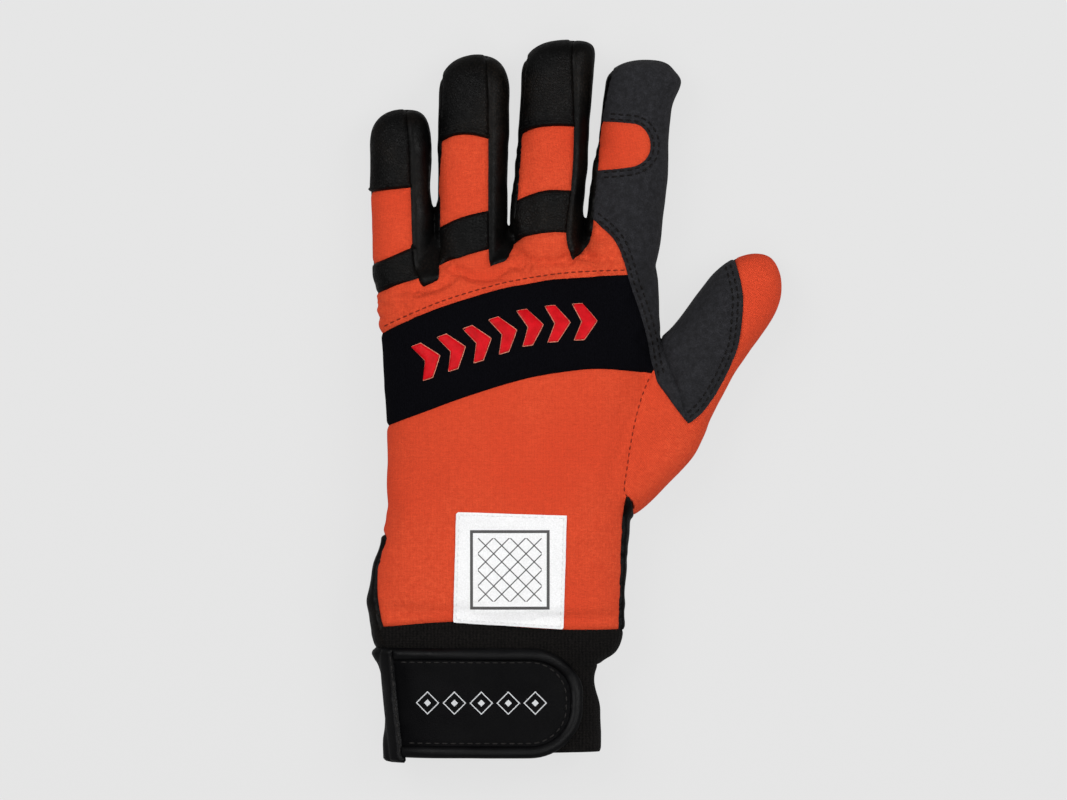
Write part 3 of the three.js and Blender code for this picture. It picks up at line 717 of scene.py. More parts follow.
def lay_cloth_map(mesh, turn):
    """A map in metres that runs with the threads: seen from above, or from the side on steep walls."""
    lay = mesh.uv_layers.new(name="cloth")
    loops = numbers(mesh.loops, "vertex_index", np.int32, 1)
    points = numbers(mesh.vertices, "co").astype(float)[loops]
    counts = numbers(mesh.polygons, "loop_total", np.int32, 1)
    sides = np.repeat(numbers(mesh.polygons, "normal"), counts, axis=0)
    angle = math.radians(turn)
    u = points[:, 0] * math.cos(angle) - points[:, 1] * math.sin(angle)
    v = points[:, 0] * math.sin(angle) + points[:, 1] * math.cos(angle)
    steep = abs(sides[:, 2]) < STEEP
    endwise = steep & (abs(sides[:, 1]) > abs(sides[:, 0]))
    u = np.where(steep & ~endwise, points[:, 2], u)
    v = np.where(endwise, points[:, 2], v)
    lay.data.foreach_set("uv", np.stack([u, v], 1).astype(np.float32).ravel())


below_wrist = Cloth(weave)
below_wrist.below(1, -CUFF)


def rib_knit():
    knit = Finish("rib_knit", "knit", Sheen_Weight=0.01, Sheen_Roughness=0.5, Specular_IOR_Level=0.06)
    lay = knit.place("UV")
    loops, courses = knit.wave(lay, "X", 240, 2.6), knit.wave(lay, "Y", 330, 4.5, 3)
    fuzz = knit.speckle(knit.place(), 1300, 4, 0.7)
    height = loops * 0.5 + courses * 0.35 + fuzz * 0.4
    colour = knit.tint(knit.between(fuzz + height * 0.3, 0.45, 0.95), paint(3, 3, 3), paint(23, 21, 20))
    return knit.dress(colour, knit.between(fuzz, 0.3, 0.7, 0.85, 1.0), height, 0.0003)


KNIT = rib_knit()
wrist_seam = seam(on_hand([
    (-0.6, 0.003), (-0.448, 0.003), (-0.286, 0.014), (-0.159, 0.018), (-0.048, 0.012), (0.07, 0.003),
    (0.229, -0.003), (0.43, -0.004), (0.6, -0.004)]))
band_foot = on_cuff([(0.6, 0.3), (-0.6, 0.3)])
cuff_foot = on_cuff([(-2, 1.5), (2, 1.5)])
around_cuff = outline(band_foot[[1, 0]] * (3, 1), cuff_foot[::-1])
sew("cuff_knit", below_wrist.cut(around_cuff), KNIT, 1.7, flat=(190, 33, 6200), drop=0.5)
sew("wrist_band_knit", below_wrist.cut(outline(wrist_seam, band_foot)), KNIT, 1.7,
    flat=(205, 18, 3400), proud=0.35)

# Palm side
# Black goatskin: the palm, a front for each finger and one for the thumb, seamed flat
# and turned. It meets the back in a seam half way up the glove's side.


def goatskin(name="goatskin", gloss=0.42, grain=1.0):
    leather = Finish(name, "black_leather", Specular_IOR_Level=0.085)
    place = leather.place()
    wander = leather.speckle(place, 420, 2)
    swirl = leather.node("TexNoise", {}, {"Vector": place, "Scale": 500, "Detail": 1}, 1)
    bend = leather.node("VectorMath", {"operation": "SCALE"}, {0: swirl, 3: 0.0007})
    bent = leather.node("VectorMath", {"operation": "ADD"}, {0: place, 1: bend})
    cells = leather.node("TexVoronoi", {"feature": "DISTANCE_TO_EDGE"}, {"Vector": bent, "Scale": 950})
    pebble = leather.between(cells, 0.0, 0.28)
    fine, broad = leather.speckle(place, 2400, 3), leather.speckle(place, 55, 2)
    # The broad brown patches, laid at random, are painted sheen: they stand in for the brownish highlights
    # on the leather.
    colour = leather.tint(leather.between(broad, 0.42, 0.72), paint(5, 5, 5), paint(24, 19, 15))
    colour = leather.tint(pebble, paint(3, 3, 3), colour)
    rough = leather.between(wander, 0.3, 0.7, gloss - 0.08, gloss + 0.14)
    return leather.dress(colour, rough, pebble * (0.5 * grain) + fine * 0.25 + wander * 0.5, 0.00022)


GOATSKIN = goatskin()
palm_side = Cloth(below_wrist.below(2, SEAM_HEIGHT))
back_side = below_wrist

thumb_root = seam(on_digit("thumb", [
    (0.645, -0.674), (0.523, -0.483), (0.342, -0.311), (0.135, 0.016), (-0.026, 0.398), (-0.078, 0.8)]))
thumb_side = on_digit("thumb", [(0.25, 3), (1.4, 0), (1, -1.05)])
sew("thumb_front_leather", palm_side.cut(outline(thumb_root, thumb_side)), GOATSKIN, 1.5,
    flat=(44, 106, 3600))

BEYOND = 1.2
crotch_line = HAND_ROWS[-1][0] * LENGTH
fingers = ["little", "ring", "middle", "index"]
divides = []
for left, right in zip([None, *fingers], [*fingers, None]):
    ends = []
    for along in (0, BEYOND):
        sides = []
        if left:
            sides.append(on_digit(left, [(along, 0.5 if right else 1)])[0])
        if right:
            sides.append(on_digit(right, [(along, -0.5 if left else -1)])[0])
        ends.append(sum(sides) / len(sides))
    divides.append(ends)
FRONTS = {
    "little": (38, 46, 1640),
    "ring": (41, 66, 2570),
    "middle": (42, 72, 2860),
    "index": (42, 64, 2560),
}
for name, (left, right) in zip(fingers, zip(divides[:-1], divides[1:])):
    feet = [
        foot + (tip - foot) * (crotch_line - foot[1]) / (tip[1] - foot[1]) for foot, tip in (left, right)]
    shape = np.array([*feet, right[1], left[1]])
    sew(name + "_front_leather", palm_side.cut(shape), GOATSKIN, 1.5, flat=FRONTS[name])
sew("palm_leather", largest(palm_side.faces), GOATSKIN, 1.6, flat=(125, 152, 15200))

# Fourchettes
# The leather strips between the fingers: each runs down one finger's side, round the
# crotch and up the next, sewn to the fronts below and to the backs above.

FOURCHETTES = {
    ("little", "ring"): (
        [(1.2, 0.1), (0.98, 0.11), (0.74, 0.15), (0.14, 0.15), (-0.06, 0.22), (-0.116, 0.3)],
        [(-0.127, -0.45), (0.07, -0.45), (0.24, -0.47), (0.75, -0.45), (1.2, -0.45)],
        (19, 82, 1330),
    ),
    ("ring", "middle"): (
        [(1.2, 0.14), (0.99, 0.158), (0.77, 0.21), (0.23, 0.24), (-0.053, 0.27)],
        [(-0.09, -0.56), (-0.012, -0.47), (0.187, -0.47), (0.7, -0.46), (1.2, -0.45)],
        (26, 82, 1850),
    ),
    ("middle", "index"): (
        [(1.2, 0.14), (0.99, 0.16), (0.58, 0.29), (0.275, 0.31), (0.07, 0.28), (-0.064, 0.388)],
        [(-0.03, -0.5), (0.06, -0.43), (0.24, -0.43), (0.63, -0.45), (0.9, -0.4), (1.2, -0.3)],
        (26, 84, 1840),
    ),
}
NAPPA = goatskin("smooth_goatskin", gloss=0.41, grain=0.35)


def from_back(*seams):
    """The faces between some seams, taken out of the back."""
    return back_side.cut(outline(*seams))


for (left, right), (down, up, flat) in FOURCHETTES.items():
    faces = from_back(seam(on_digit(left, down)), seam(on_digit(right, up)))
    sew(f"fourchette_{left}_{right}_leather", faces, NAPPA, 1.4,
        flat=flat, drop=0.9, roll=2.2, crown=0.5)

# Finger caps, backs and knuckle strips
# Each of three fingers has a goatskin cap with a turned lip, a stretch cloth back, and a
# goatskin strip over the knuckle whose edges are folded under.

FINGER_SEAMS = {
    "little": (
        [(0.49, -0.7), (0.495, -0.45), (0.514, 0.3)],
        [(0.02, -0.7), (0.09, -0.178), (0.16, 0.3)],
        [(-0.16, -0.7), (-0.118, -0.32), (-0.04, 0.3)],
    ),
    "ring": (
        [(0.54, -0.6), (0.59, -0.286), (0.595, 0.01), (0.565, 0.35)],
        [(0.11, -0.6), (0.183, -0.165), (0.23, 0.35)],
        [(-0.07, -0.6), (0, -0.056), (0.04, 0.35)],
    ),
    "middle": (
        [(0.49, -0.6), (0.548, -0.366), (0.575, -0.018), (0.58, 0.4)],
        [(0.17, -0.6), (0.216, -0.402), (0.262, -0.057), (0.27, 0.4)],
        [(-0.04, -0.6), (0.031, -0.317), (0.063, 0.085), (0.064, 0.4)],
    ),
}


def stretch_cloth():
    cloth = Finish("stretch_cloth", "orange_cloth", Specular_IOR_Level=0.06)
    lay, place = cloth.place("UV"), cloth.place()
    threads = cloth.wave(lay, "X", 560, 4) * 0.5 + cloth.wave(lay, "Y", 640, 5) * 0.5
    slub = cloth.speckle(lay, 900, 2, stretch=(0.7, 1.8, 1))
    mottle, broad = cloth.speckle(place, 560, 3), cloth.speckle(place, 22, 2)
    colour = cloth.tint(cloth.between(broad, 0.32, 0.68), paint(209, 66, 39), paint(221, 86, 52))
    colour = cloth.tint(cloth.between(mottle), paint(203, 69, 41), colour)
    colour = cloth.tint(cloth.between(threads * 0.5 + slub * 0.5, 0.25, 0.6), paint(184, 59, 35), colour)
    height = threads * 0.6 + slub * 0.7 + mottle * 0.4
    return cloth.dress(colour, cloth.between(slub, 0.3, 0.7, 0.78, 0.95), height, 0.00025)


STRETCH_CLOTH = stretch_cloth()
CAPS = {"little": (27, 32, 750), "ring": (28, 34, 800), "middle": (30, 37, 920)}
STRIPS = {"little": (30, 13, 330), "ring": (27, 15, 335), "middle": (28, 17, 400)}
for name, lines in FINGER_SEAMS.items():
    cap, strip_top, strip_foot = (seam(on_digit(name, line)) for line in lines)
    beyond = on_digit(name, [(BEYOND, 0.4), (BEYOND, -0.6)])
    sew(name + "_cap_leather", from_back(cap, beyond), GOATSKIN,
        flat=CAPS[name], proud=0.35, drop=0.9, roll=1.5, lips=[(cap, 0.7, 1.8)])
    sew(name + "_back_cloth", from_back(strip_top, beyond), STRETCH_CLOTH,
        fill=0.4, drop=0.8, roll=2.4, crown=0.45, turn=DIGITS[name]["lean"])
    sew(name + "_strip_leather", from_back(strip_foot, beyond), GOATSKIN,
        flat=STRIPS[name], proud=0.25, drop=0.8, roll=1.3, crown=0.15)

# Index finger
# Matt grey-black suede comes round from the palm over the tip and the outer side, leaves
# a D of cloth with two rows of stitches round it, and runs on past the thumb's crotch.


def suede():
    nap = Finish("suede", "grey_suede", Sheen_Weight=0.02, Sheen_Roughness=0.6, Specular_IOR_Level=0.06)
    place = nap.place()
    fibre = nap.speckle(place, 2100, 4, 0.65)
    brushed = nap.speckle(place, 480, 4, 0.7)
    broad = nap.speckle(place, 30, 2)
    colour = nap.tint(nap.between(brushed, 0.35, 0.7), paint(30, 30, 32), paint(52, 52, 56))
    colour = nap.tint(nap.between(fibre), paint(25, 25, 27), colour)
    return nap.dress(colour, nap.between(broad, 0.3, 0.7, 0.72, 0.92), fibre + brushed * 0.3, 0.00022)


SUEDE = suede()
inset = seam(on_digit("index", [
    (0.645, -0.8), (0.655, -0.2), (0.652, 0.05), (0.609, 0.19), (0.549, 0.245), (0.49, 0.21),
    (0.441, 0.07), (0.413, -0.2), (0.37, -0.8)]))
sew("index_inset_cloth", from_back(inset), STRETCH_CLOTH,
    fill=0.4, drop=0.5, roll=1.4, crown=0.15, turn=DIGITS["index"]["lean"])

WRAP_EDGE = on_hand([
    (0.31, 1.083), (0.365, 1.05), (0.407, 1.015), (0.438, 0.959), (0.456, 0.914), (0.493, 0.838),
    (0.524, 0.758), (0.538, 0.7), (0.55, 0.66)])
wrap_seam = seam([*WRAP_EDGE, *on_digit("thumb", [(0.373, -0.046), (0.332, 0.453)])])
crotch_fold = seam(on_digit("thumb", [
    (0.332, 0.453), (0.398, 0.152), (0.46, -0.205), (0.524, -0.478), (0.623, -0.616)]))
around_index = on_digit("index", [(0.25, 0.75), (BEYOND, 0.75), (BEYOND, -0.75), (0.14, -0.6)])
sew("index_wrap_suede", from_back(wrap_seam, crotch_fold, around_index), SUEDE,
    flat=(40, 137, 3470), proud=0.3, drop=0.8, roll=1.1, crown=0.1)

# Thumb
# A suede patch on the side that faces the index finger, sewn down in two rows over a
# cloth back, which a long dashed seam joins to the back of the hand.

patch_edge = seam(on_digit("thumb", [
    (0.95, -0.5), (0.903, -0.29), (0.853, -0.074), (0.802, 0.09), (0.686, 0.345), (0.618, 0.43),
    (0.531, 0.495), (0.425, 0.53), (0.365, 0.5), (0.334, 0.464)]))
sew("thumb_patch_suede", from_back(patch_edge, crotch_fold), SUEDE,
    flat=(36, 62, 1720), proud=0.35, drop=0.8, roll=1.1, crown=0.1)
thumb_seam = seam(on_digit("thumb", [
    (0.444, -0.318), (0.39, -0.306), (0.29, -0.208), (0.179, -0.038), (0.065, 0.175),
    (-0.005, 0.325), (-0.019, 0.511), (-0.054, 0.588), (-0.082, 0.7), (-0.077, 0.886)]))
sew("thumb_back_cloth", from_back(thumb_seam, thumb_side), STRETCH_CLOTH, 2.2,
    fill=0.5, drop=0.8, roll=1.8, crown=0.3, turn=DIGITS["thumb"]["lean"], calm=[thumb_seam])

# Side gussets
# Strips of goatskin folded round the palm's edge: they show as black piping beside the
# cloth from the wrist up, a wide lens on the left and a narrow bar on the right.

left_gusset = seam(on_hand([
    (-0.5, 0.262), (-0.44, 0.243), (-0.452, 0.2), (-0.469, 0.153), (-0.471, 0.095), (-0.46, 0.038),
    (-0.448, 0.003), (-0.43, -0.03), (-0.405, -0.07)]))
right_gusset = seam(on_hand([
    (0.475, 0.3), (0.466, 0.335), (0.45, 0.352), (0.438, 0.335), (0.431, 0.259), (0.424, 0.111),
    (0.42, -0.01)]))
left_of_hand = on_hand([(-0.7, -0.07), (-0.7, 0.27)])
right_of_hand = on_hand([(0.7, -0.02), (0.7, 0.24)])


def layer(shape):
    """A piece laid over what is there: its faces come out of the whole hide."""
    global hide
    hide = whole_hide.copy()
    above = Cloth(whole_weave)
    above.below(2, SEAM_HEIGHT)
    return above.cut(shape)


GUSSETS = {
    "left": (left_gusset, left_of_hand, (22, 44, 760)),
    "right": (right_gusset, right_of_hand, (19, 52, 690)),
}
for line, edge, _ in GUSSETS.values():
    from_back(line, edge)
hand_hide = hide
for side, (line, edge, flat) in GUSSETS.items():
    sew(f"gusset_{side}_leather", layer(outline(line, edge)), NAPPA, 1.6,
        flat=flat, proud=0.5, drop=1.4, roll=1.6, crown=0.3)
hide = hand_hide

# Back of the hand
# Stretch cloth over the knuckles and over the hand, with a slanting band of neoprene
# foam between them. The back holds the layers that stop a cut, so it is plump.


def neoprene():
    foam = Finish("neoprene", "neoprene", Specular_IOR_Level=0.03)
    jersey, fuzz = foam.wave(foam.place("UV"), "X", 480, 3), foam.speckle(foam.place(), 1900, 3)
    colour = foam.tint(foam.between(fuzz, 0.3, 0.75), paint(3, 3, 5), paint(10, 10, 14))
    return foam.dress(colour, foam.between(fuzz, 0.3, 0.7, 0.85, 1.0), jersey * 0.4 + fuzz * 0.6, 0.0002)


NEOPRENE = neoprene()
band_top = seam(on_hand([
    (-0.6, 0.72), (-0.45, 0.778), (-0.359, 0.809), (-0.221, 0.85), (-0.055, 0.887), (0.073, 0.908),
    (0.23, 0.924), (0.445, 0.931), (0.6, 0.93)]))
band_bottom = seam(on_hand([
    (-0.6, 0.485), (-0.427, 0.536), (-0.325, 0.563), (-0.133, 0.613), (0.065, 0.656), (0.223, 0.677),
    (0.358, 0.684), (0.537, 0.672), (0.65, 0.66)]))
beyond_fingers = on_hand([(0.7, 1.4), (-0.7, 1.4)])
sew("knuckle_panel_cloth", from_back(band_top, beyond_fingers), STRETCH_CLOTH, 2.6,
    fill=0.5, drop=0.8, roll=2.4, crown=0.4)
sew("knuckle_band_neoprene", from_back(band_bottom, beyond_fingers), NEOPRENE, 2.6,
    fill=0.6, drop=0.6, roll=1.8, crown=0.25)
sew("back_panel_cloth", largest(back_side.faces), STRETCH_CLOTH, 3.0,
    fill=0.6, drop=0.8, roll=2.4, crown=0.4, calm=[thumb_seam])

# Label
# A white woven label with a lattice printed in a square frame. It is sewn to the back above
# the wrist band along its four edges, with white thread.

LABEL = on_hand([(-0.175, 0.308), (0.223, 0.298), (0.211, -0.001), (-0.187, 0.018)])
FRAME_REACH, FRAME_LINE, LATTICE_REACH, LATTICE_HALF, LATTICE_LINE = 0.0142, 0.00055, 0.0118, 0.003, 0.0003


def woven_label():
    """White cloth with a lattice in a square frame printed on it."""
    cloth = Finish("woven_label", "label_cloth", Specular_IOR_Level=0.15)
    x, y = cloth.across_and_along(LABEL.mean(axis=0))
    reach = cloth.maths("MAXIMUM", cloth.maths("ABSOLUTE", x), cloth.maths("ABSOLUTE", y))
    rising, falling = (cloth.maths("PINGPONG", line, LATTICE_HALF) for line in (x + y, x - y))
    lattice = cloth.maths("LESS_THAN", cloth.maths("MINIMUM", rising, falling), LATTICE_LINE)
    lattice = lattice * cloth.maths("LESS_THAN", reach, LATTICE_REACH)
    ink = cloth.maths("MAXIMUM", cloth.maths("COMPARE", reach, FRAME_REACH, FRAME_LINE), lattice)
    threads, fuzz = cloth.wave(cloth.place(), "Y", 700, 1, 1), cloth.speckle(cloth.place(), 1800, 2)
    ground = cloth.tint(cloth.between(fuzz), paint(221, 221, 221), paint(236, 236, 237))
    colour = cloth.tint(ink * 0.92, ground, paint(40, 38, 38))
    return cloth.dress(colour, cloth.between(fuzz, 0.3, 0.7, 0.7, 0.9), threads * 0.5 + fuzz * 0.5, 0.00012)


LABEL_CLOTH = woven_label()
sew("label_cloth", layer(LABEL), LABEL_CLOTH, 0.6,
    flat=(41.5, 42.5, 1740), proud=1.15, drop=0.25, roll=0.9, crown=0.0)

# Chevrons
# Seven raised chevrons of red rubber, moulded on to the neoprene band, each with a thin
# pale thread laid round it.

CHEVRON_COUNT, CHEVRON_HEIGHT, CHEVRON_STROKE, CHEVRON_PITCH = 7, 13, 3.6, 10
THREAD_OUT, THREAD_RADIUS, THREAD_SINK = 0.25, 0.00017, 0.1
row = seam(on_hand([
    (-0.42, 0.668), (-0.29, 0.705), (-0.1, 0.752), (0.1, 0.795), (0.33, 0.81), (0.46, 0.812)]), 60)


def red_rubber():
    rubber = Finish("red_rubber", "red_print", Specular_IOR_Level=0.08)
    cloudy, fine = rubber.speckle(rubber.place(), 260, 3), rubber.speckle(rubber.place(), 1500, 2)
    colour = rubber.tint(rubber.between(cloudy), paint(170, 6, 16), paint(200, 13, 25))
    return rubber.dress(colour, rubber.between(fine, 0.3, 0.7, 0.35, 0.55), fine + cloudy * 0.5, 0.00012)


def sewing_thread(name, low, high, shine=0.1, rough=0.45, twist=2400):
    thread = Finish(name, Specular_IOR_Level=shine)
    strands = thread.speckle(thread.place(), twist, 2)
    colour = thread.tint(thread.between(strands), low, high)
    return thread.dress(colour, thread.between(strands, 0.3, 0.7, rough, rough + 0.2))


RED_RUBBER = red_rubber()
PALE_THREAD = sewing_thread("pale_thread", paint(176, 78, 62), paint(226, 150, 124), 0.2, 0.5, 1800)


def at_length(line, length):
    """A place along a line of points and the direction there."""
    along = np.concatenate([[0], np.cumsum(lengths(np.diff(line, axis=0)))])
    spot = np.array([np.interp(length, along, line[:, k]) for k in range(line.shape[1])])
    i = min(np.searchsorted(along, length, side="right"), len(line) - 1)
    return spot, unit(line[i] - line[i - 1])


def line_length(line):
    return lengths(np.diff(line, axis=0)).sum()


ABOVE_ALL = 0.1


def ground_under(*names):
    """Finds the height and slope of finished pieces under a plan point."""
    trees = []
    for name in names:
        mesh = bpy.data.objects[name].data
        faces = [p.vertices for p in mesh.polygons]
        trees.append(BVHTree.FromPolygons([v.co for v in mesh.vertices], faces))

    def look(x, y):
        hits = [tree.ray_cast(Vector((x, y, ABOVE_ALL)), Vector((0, 0, -1))) for tree in trees]
        hits = [hit for hit in hits if hit[0] is not None]
        return max(hits, key=lambda hit: hit[0].z)[:2] if hits else (None, None)

    return look


CORD_SIDES, CORD_ENDS = 6, 0.35


def cord_mesh(name, lines, radius, finish, sink=0.3):
    """Thin round threads along lines of (spot, normal) pairs, all in one mesh."""
    points, faces, sides = [], [], CORD_SIDES
    for line in lines:
        spots = np.array([spot for spot, _ in line])
        ups = np.array([up for _, up in line])
        ahead = unit(np.gradient(spots, axis=0))
        side = unit(np.cross(ahead, ups))
        up = np.cross(side, ahead)
        girth = np.full(len(spots), radius)
        girth[[0, -1]] *= CORD_ENDS
        start = len(points)
        for spot, s, u, r in zip(spots, side, up, girth):
            centre = spot + u * radius * (1 - 2 * sink)
            for k in range(sides):
                turn = 2 * math.pi * k / sides
                points.append(centre + (s * math.cos(turn) + u * math.sin(turn)) * r)
        for i in range(len(spots) - 1):
            for k in range(sides):
                a, b = start + i * sides + k, start + i * sides + (k + 1) % sides
                faces.append((a, a + sides, b + sides, b))
        last = start + (len(spots) - 1) * sides
        faces.append(tuple(start + k for k in range(sides)))
        faces.append(tuple(last + k for k in reversed(range(sides))))
    obj = new_object(name, points, faces)
    obj.data.shade_smooth()
    take_finish(obj, finish)


band_ground = ground_under("knuckle_band_neoprene")
for i in range(CHEVRON_COUNT):
    centre, ahead = at_length(row, line_length(row) / 2 + (i - CHEVRON_COUNT // 2) * CHEVRON_PITCH)
    up = np.array([-ahead[1], ahead[0]])
    half, lean, stroke = CHEVRON_HEIGHT / 2, CHEVRON_HEIGHT / 4, CHEVRON_STROKE / 2
    corners = np.array([centre + ahead * f + up * r for f, r in (
        (-lean - stroke, half), (-stroke, 0), (-lean - stroke, -half),
        (-lean + stroke, -half), (stroke + lean / 2, 0), (-lean + stroke, half))])
    sew(f"chevron_{i + 1}_rubber", layer(corners), RED_RUBBER, 0.7,
        proud=1.05, drop=0.35, roll=0.8, crown=0.0, rolls=(0.3, 0.7))
    ring = []
    for a, b in zip(corners, np.roll(corners, -1, axis=0)):
        ring += [a + (b - a) * t for t in np.linspace(0, 1, 6)[:-1]]
    ring = np.array([*ring, ring[0]])
    ring += THREAD_OUT * unit(ring - centre)
    thread = [band_ground(*in_frame(p)) for p in ring]
    thread = [(np.array(spot), np.array(up)) for spot, up in thread if spot]
    cord_mesh(f"chevron_{i + 1}_thread", [thread], THREAD_RADIUS, PALE_THREAD, THREAD_SINK)

# Strap
# A flat strap of satin rubber cloth that closes the cuff: its edge is a rolled welt, its
# left end is sewn into a folded binding on the little finger's side.

STRAP_WIDTH, STRAP_REACH, STRAP_EDGE, STRAP_PROUD, STRAP_CROWN = 41, 66, 4.6, 1.75, 0.25
STRAP_ROUND, ARC_STEPS, UNDER_BINDING = 0.46, 33, 0.5
WELT_PROUD, WELT_HEIGHT, FOLD_PROUD, FOLD_HEIGHT, FOLD_ROUND = 0.9, 2.5, 0.7, 2.7, 1.7
GROOVE_DEEP, GROOVE_BACK, GROOVE_HALF = 0.9, 4.3, 0.55
STRAP_MIDDLE = -CUFF - 2 + STRAP_WIDTH / 2
BINDING_LEAN, BINDING_BACK = 0.1, 0.9


def binding_edge(y):
    """The binding's inner edge leans, so that its foot lies further in."""
    return BINDING_EDGE - BINDING_BACK + BINDING_LEAN * (STRAP_MIDDLE - y)


def strap_outline(inset):
    half, end = STRAP_WIDTH / 2 - inset, BINDING_EDGE + STRAP_REACH - inset
    radius = STRAP_ROUND * STRAP_WIDTH - inset
    turn = np.linspace(math.pi / 2, -math.pi / 2, ARC_STEPS)
    arc = np.stack([end - radius + radius * np.cos(turn), radius * np.sin(turn)], 1)
    arc[:, 1] += STRAP_MIDDLE + np.where(turn >= 0, 1, -1) * (half - radius)
    top, foot = ([(binding_edge(y) - UNDER_BINDING, y)] for y in (STRAP_MIDDLE + half, STRAP_MIDDLE - half))
    return np.concatenate([top, arc, foot])


MARK_PITCH, MARK_SIZE, MARK_LINE, MARK_DOT, MARKS_REACH = 0.005, 0.0041, 0.00026, 0.0013, 0.0247


def satin_rubber(name, shine, rough_low, rough_high, marks=None):
    """Black rubber cloth; marks is the middle of a printed row of lozenges."""
    rubber = Finish(name, "strap_rubber", Specular_IOR_Level=shine)
    fine, broad = rubber.speckle(rubber.place(), 2200, 2), rubber.speckle(rubber.place(), 90, 2)
    colour = rubber.tint(rubber.between(broad), paint(3, 3, 4), paint(8, 8, 9))
    if marks:
        x, y = rubber.across_and_along(marks)
        near = rubber.maths("PINGPONG", x, MARK_PITCH) + rubber.maths("ABSOLUTE", y)
        ring = rubber.maths("COMPARE", near, MARK_SIZE, MARK_LINE)
        lozenges = rubber.maths("MAXIMUM", ring, rubber.maths("LESS_THAN", near, MARK_DOT))
        span = rubber.maths("LESS_THAN", rubber.maths("ABSOLUTE", x), MARKS_REACH)
        colour = rubber.tint(lozenges * span * 0.85, colour, paint(205, 207, 209))
    rough = rubber.between(fine * 0.6 + broad * 0.4, 0.35, 0.65, rough_low, rough_high)
    return rubber.dress(colour, rough, fine + broad * 0.6, 0.0001)


STRAP_FACE = satin_rubber("strap_face", 0.04, 0.42, 0.6, (BINDING_EDGE + 29, STRAP_MIDDLE))
STRAP_ROLL = satin_rubber("strap_roll", 0.11, 0.36, 0.5)
laid = Cloth(layer(strap_outline(0)))
face = laid.cut(strap_outline(STRAP_EDGE))
sew("strap_rubber", face, STRAP_FACE, 1.3, flat=(64, 32, 2000),
    shape=lambda far, points: STRAP_PROUD + STRAP_CROWN * np.clip(far / 2, 0, 1))


def rolled(far, radius):
    """How high a rolled edge has risen, as a share."""
    return np.sqrt(np.clip(1 - (1 - np.clip(far / radius, 0, 1)) ** 2, 0, 1))


def welt(far, points):
    return WELT_PROUD + WELT_HEIGHT * rolled(far, STRAP_EDGE / 2)


sew("strap_edge_rubber", largest(laid.faces), STRAP_ROLL, 0.8,
    flat=(10, 158, 1250), shape=welt, rolls=(0.25, 0.7, 1.3))

BINDING_TOP = STRAP_MIDDLE + STRAP_WIDTH / 2
BINDING = np.array([
    (BINDING_EDGE - 60, BINDING_FOOT), (binding_edge(BINDING_FOOT), BINDING_FOOT),
    (binding_edge(BINDING_TOP), BINDING_TOP), (BINDING_EDGE - 60, BINDING_TOP)])


def folded_binding(far, points):
    """Round at its edges, with a groove beside the inner one where the fold ends."""
    beyond = (points[:, 0] - binding_edge(points[:, 1]) + GROOVE_BACK) / GROOVE_HALF
    return FOLD_PROUD + FOLD_HEIGHT * rolled(far, FOLD_ROUND) - GROOVE_DEEP * np.exp(-(beyond**2))


sew("strap_binding_rubber", layer(BINDING), STRAP_ROLL, 1.2,
    flat=(26, 45, 1080), shape=folded_binding, rolls=(0.25, 0.7, 1.3))

# Stitches
# Lockstitches of 2 to 3 mm: rust thread beside the knuckle band and along the thumb seam, black on the
# leather and suede, black with a painted highlight on the strap and its binding, and white on the label.

BLACK_THREAD = sewing_thread("black_thread", paint(7, 6, 6), paint(24, 21, 20))
# On the strap and its binding the black thread is painted lighter: a painted highlight that stands in for
# its shine.
PAINTED_HIGHLIGHT_THREAD = sewing_thread("painted_highlight_thread", paint(16, 15, 15), paint(46, 44, 43))
WHITE_THREAD = sewing_thread("white_thread", paint(196, 196, 196), paint(234, 234, 234))
RUST_THREAD = sewing_thread("rust_thread", paint(88, 24, 14), paint(134, 44, 26))


def beside(line, distance):
    """A line moved sideways, to the left where the distance is above nought."""
    ahead = unit(np.gradient(line, axis=0))
    return line + distance * np.stack([-ahead[:, 1], ahead[:, 0]], 1)


STITCH_DIP, STITCH_LOWEST = 0.9, 0.008


def stitch(name, rows, grounds, length=2.3, gap=0.8, radius=0.28, finish=BLACK_THREAD):
    """Rows of stitches whose ends dip into the pieces that they hold; millimetres."""
    look = ground_under(*grounds)
    threads = []
    for line in rows:
        total = line_length(line)
        count = int(total / (length + gap))
        for i in range(count):
            start = (total - count * (length + gap) + gap) / 2 + i * (length + gap)
            thread = []
            for share in (0, 0.25, 0.75, 1):
                spot, _ = at_length(line, start + share * length)
                hit, up = look(*in_frame(spot))
                if hit is not None and hit.z > STITCH_LOWEST:
                    dip = (STITCH_DIP if share in (0, 1) else 0) * radius / 1000
                    thread.append((np.array(hit) - np.array(up) * dip, np.array(up)))
            if len(thread) == 4:
                threads.append(thread)
    cord_mesh(name, threads, radius / 1000, finish)


stitch("knuckle_stitches", [beside(band_top, 1.9)], ["knuckle_panel_cloth"],
       length=1.9, gap=0.7, radius=0.24, finish=RUST_THREAD)
stitch("thumb_seam_stitches", [thumb_seam], ["thumb_back_cloth", "back_panel_cloth"],
       length=1.7, gap=0.9, radius=0.22, finish=RUST_THREAD)
inner_wrap = seam(WRAP_EDGE)
stitch("suede_stitches", [
    beside(inset, 1.0), beside(inset, 2.9),
    beside(inner_wrap, 1.2), beside(inner_wrap, 3.2),
    beside(patch_edge, -2.0), beside(patch_edge, -3.9)],
    ["index_wrap_suede", "thumb_patch_suede"], length=2.0, gap=0.9, radius=0.32)
stitch("strap_stitches", [strap_outline(STRAP_EDGE + 0.9)], ["strap_rubber"],
       length=2.2, gap=0.9, finish=PAINTED_HIGHLIGHT_THREAD)
binding_row = np.array([
    (binding_edge(y) - 2.3, y) for y in np.linspace(BINDING_FOOT + 1.5, BINDING_TOP - 1.5, 12)])
stitch("binding_stitches", [binding_row], ["strap_binding_rubber"],
       length=2.2, gap=0.9, finish=PAINTED_HIGHLIGHT_THREAD)
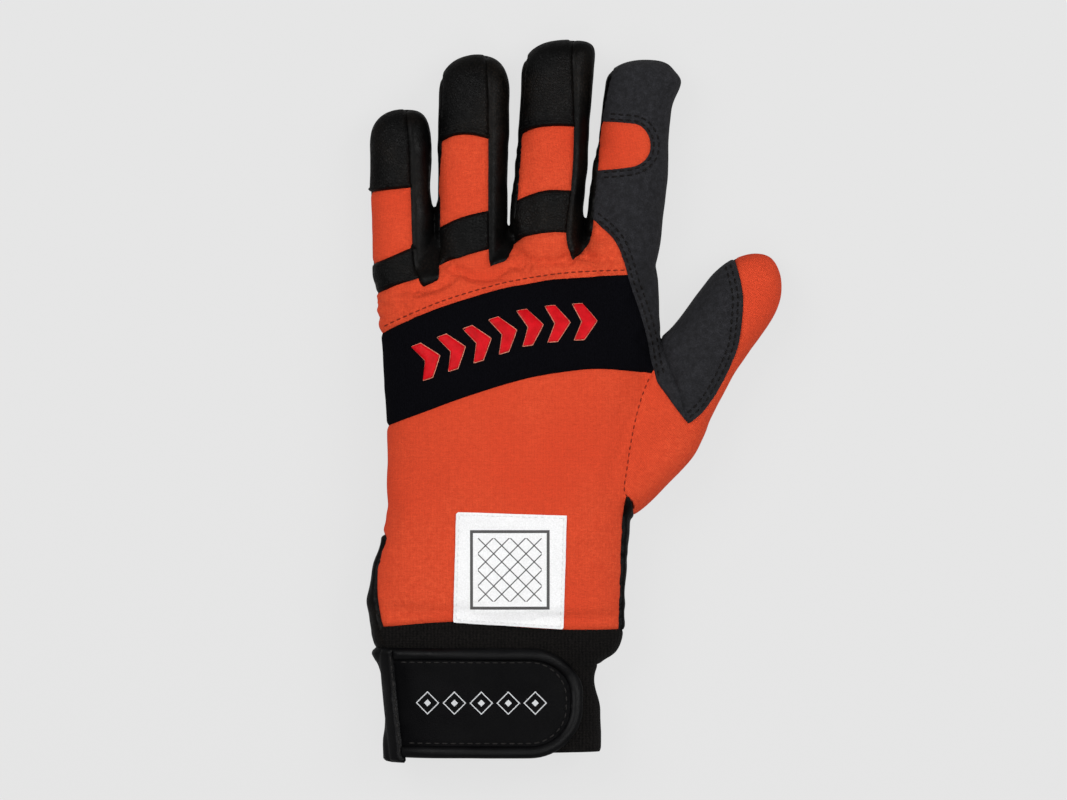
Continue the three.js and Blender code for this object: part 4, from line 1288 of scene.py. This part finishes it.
for name, lines in FINGER_SEAMS.items():
    cap, strip_top, strip_foot = (seam(on_digit(name, line)) for line in lines)
    rows = [beside(cap, 2.4), beside(cap, 3.6), beside(strip_top, -1.5), beside(strip_foot, 1.5)]
    stitch(f"{name}_stitches", rows, [f"{name}_cap_leather", f"{name}_strip_leather"],
           length=1.5, gap=0.7, radius=0.2)
label_rows = [beside(np.linspace(a, b, 20), -1.0) for a, b in zip(LABEL, np.roll(LABEL, -1, axis=0))]
stitch("label_stitches", label_rows, ["label_cloth"],
       length=1.6, gap=0.7, radius=0.16, finish=WHITE_THREAD)

# Floor, light and camera
# A pale seamless ground under soft light from two windows and overhead. The glove lies flat
# on it and is seen from straight above with a long lens.

GROUND_WIDE, GROUND_LOW = 6, -0.0006
ground = Finish(
    "pale_ground", Base_Color=(0.06, 0.06, 0.06, 1), Emission_Color=(1, 1, 1, 1), Emission_Strength=0.71,
    Roughness=0.9, Specular_IOR_Level=0.1)
bpy.ops.mesh.primitive_plane_add(size=GROUND_WIDE, location=(0, 0, GROUND_LOW))
floor = bpy.context.object
floor.name = "floor"
floor.visible_glossy = False
floor.data.materials.append(ground.material)

world = bpy.data.worlds.new("studio")
bpy.context.scene.world = world
world.use_nodes = True
world.node_tree.nodes["Background"].inputs["Color"].default_value = (1, 1, 1, 1)
world.node_tree.nodes["Background"].inputs["Strength"].default_value = 0.25


def softbox(name, power, size, spot):
    light = bpy.data.lights.new(name, "AREA")
    light.energy, light.size = power, size
    box = bpy.data.objects.new(name, light)
    box.location = spot
    box.rotation_euler = (-Vector(spot)).to_track_quat("-Z", "Y").to_euler()
    bpy.context.scene.collection.objects.link(box)


softbox("window_left", 22, 1.2, (-1.1, 0.6, 1.6))
softbox("window_right", 19, 1.0, (1.2, 0.4, 1.5))
softbox("overhead", 16, 1.6, (0.1, -0.7, 2.0))

CAMERA_HIGH, SHARP_AT, VIEW_WIDE, SENSOR = 3.0, 0.02, 0.39735, 36
PHOTO_MIDDLE = (10.6, 84.9)
camera = bpy.data.cameras.new("camera")
camera.sensor_width = SENSOR
camera.lens = SENSOR * (CAMERA_HIGH - SHARP_AT) / VIEW_WIDE
seat = bpy.data.objects.new("camera", camera)
seat.location = (*in_frame(PHOTO_MIDDLE), CAMERA_HIGH)
bpy.context.scene.collection.objects.link(seat)
bpy.context.scene.camera = seat
bpy.context.scene.view_settings.view_transform = "Standard"
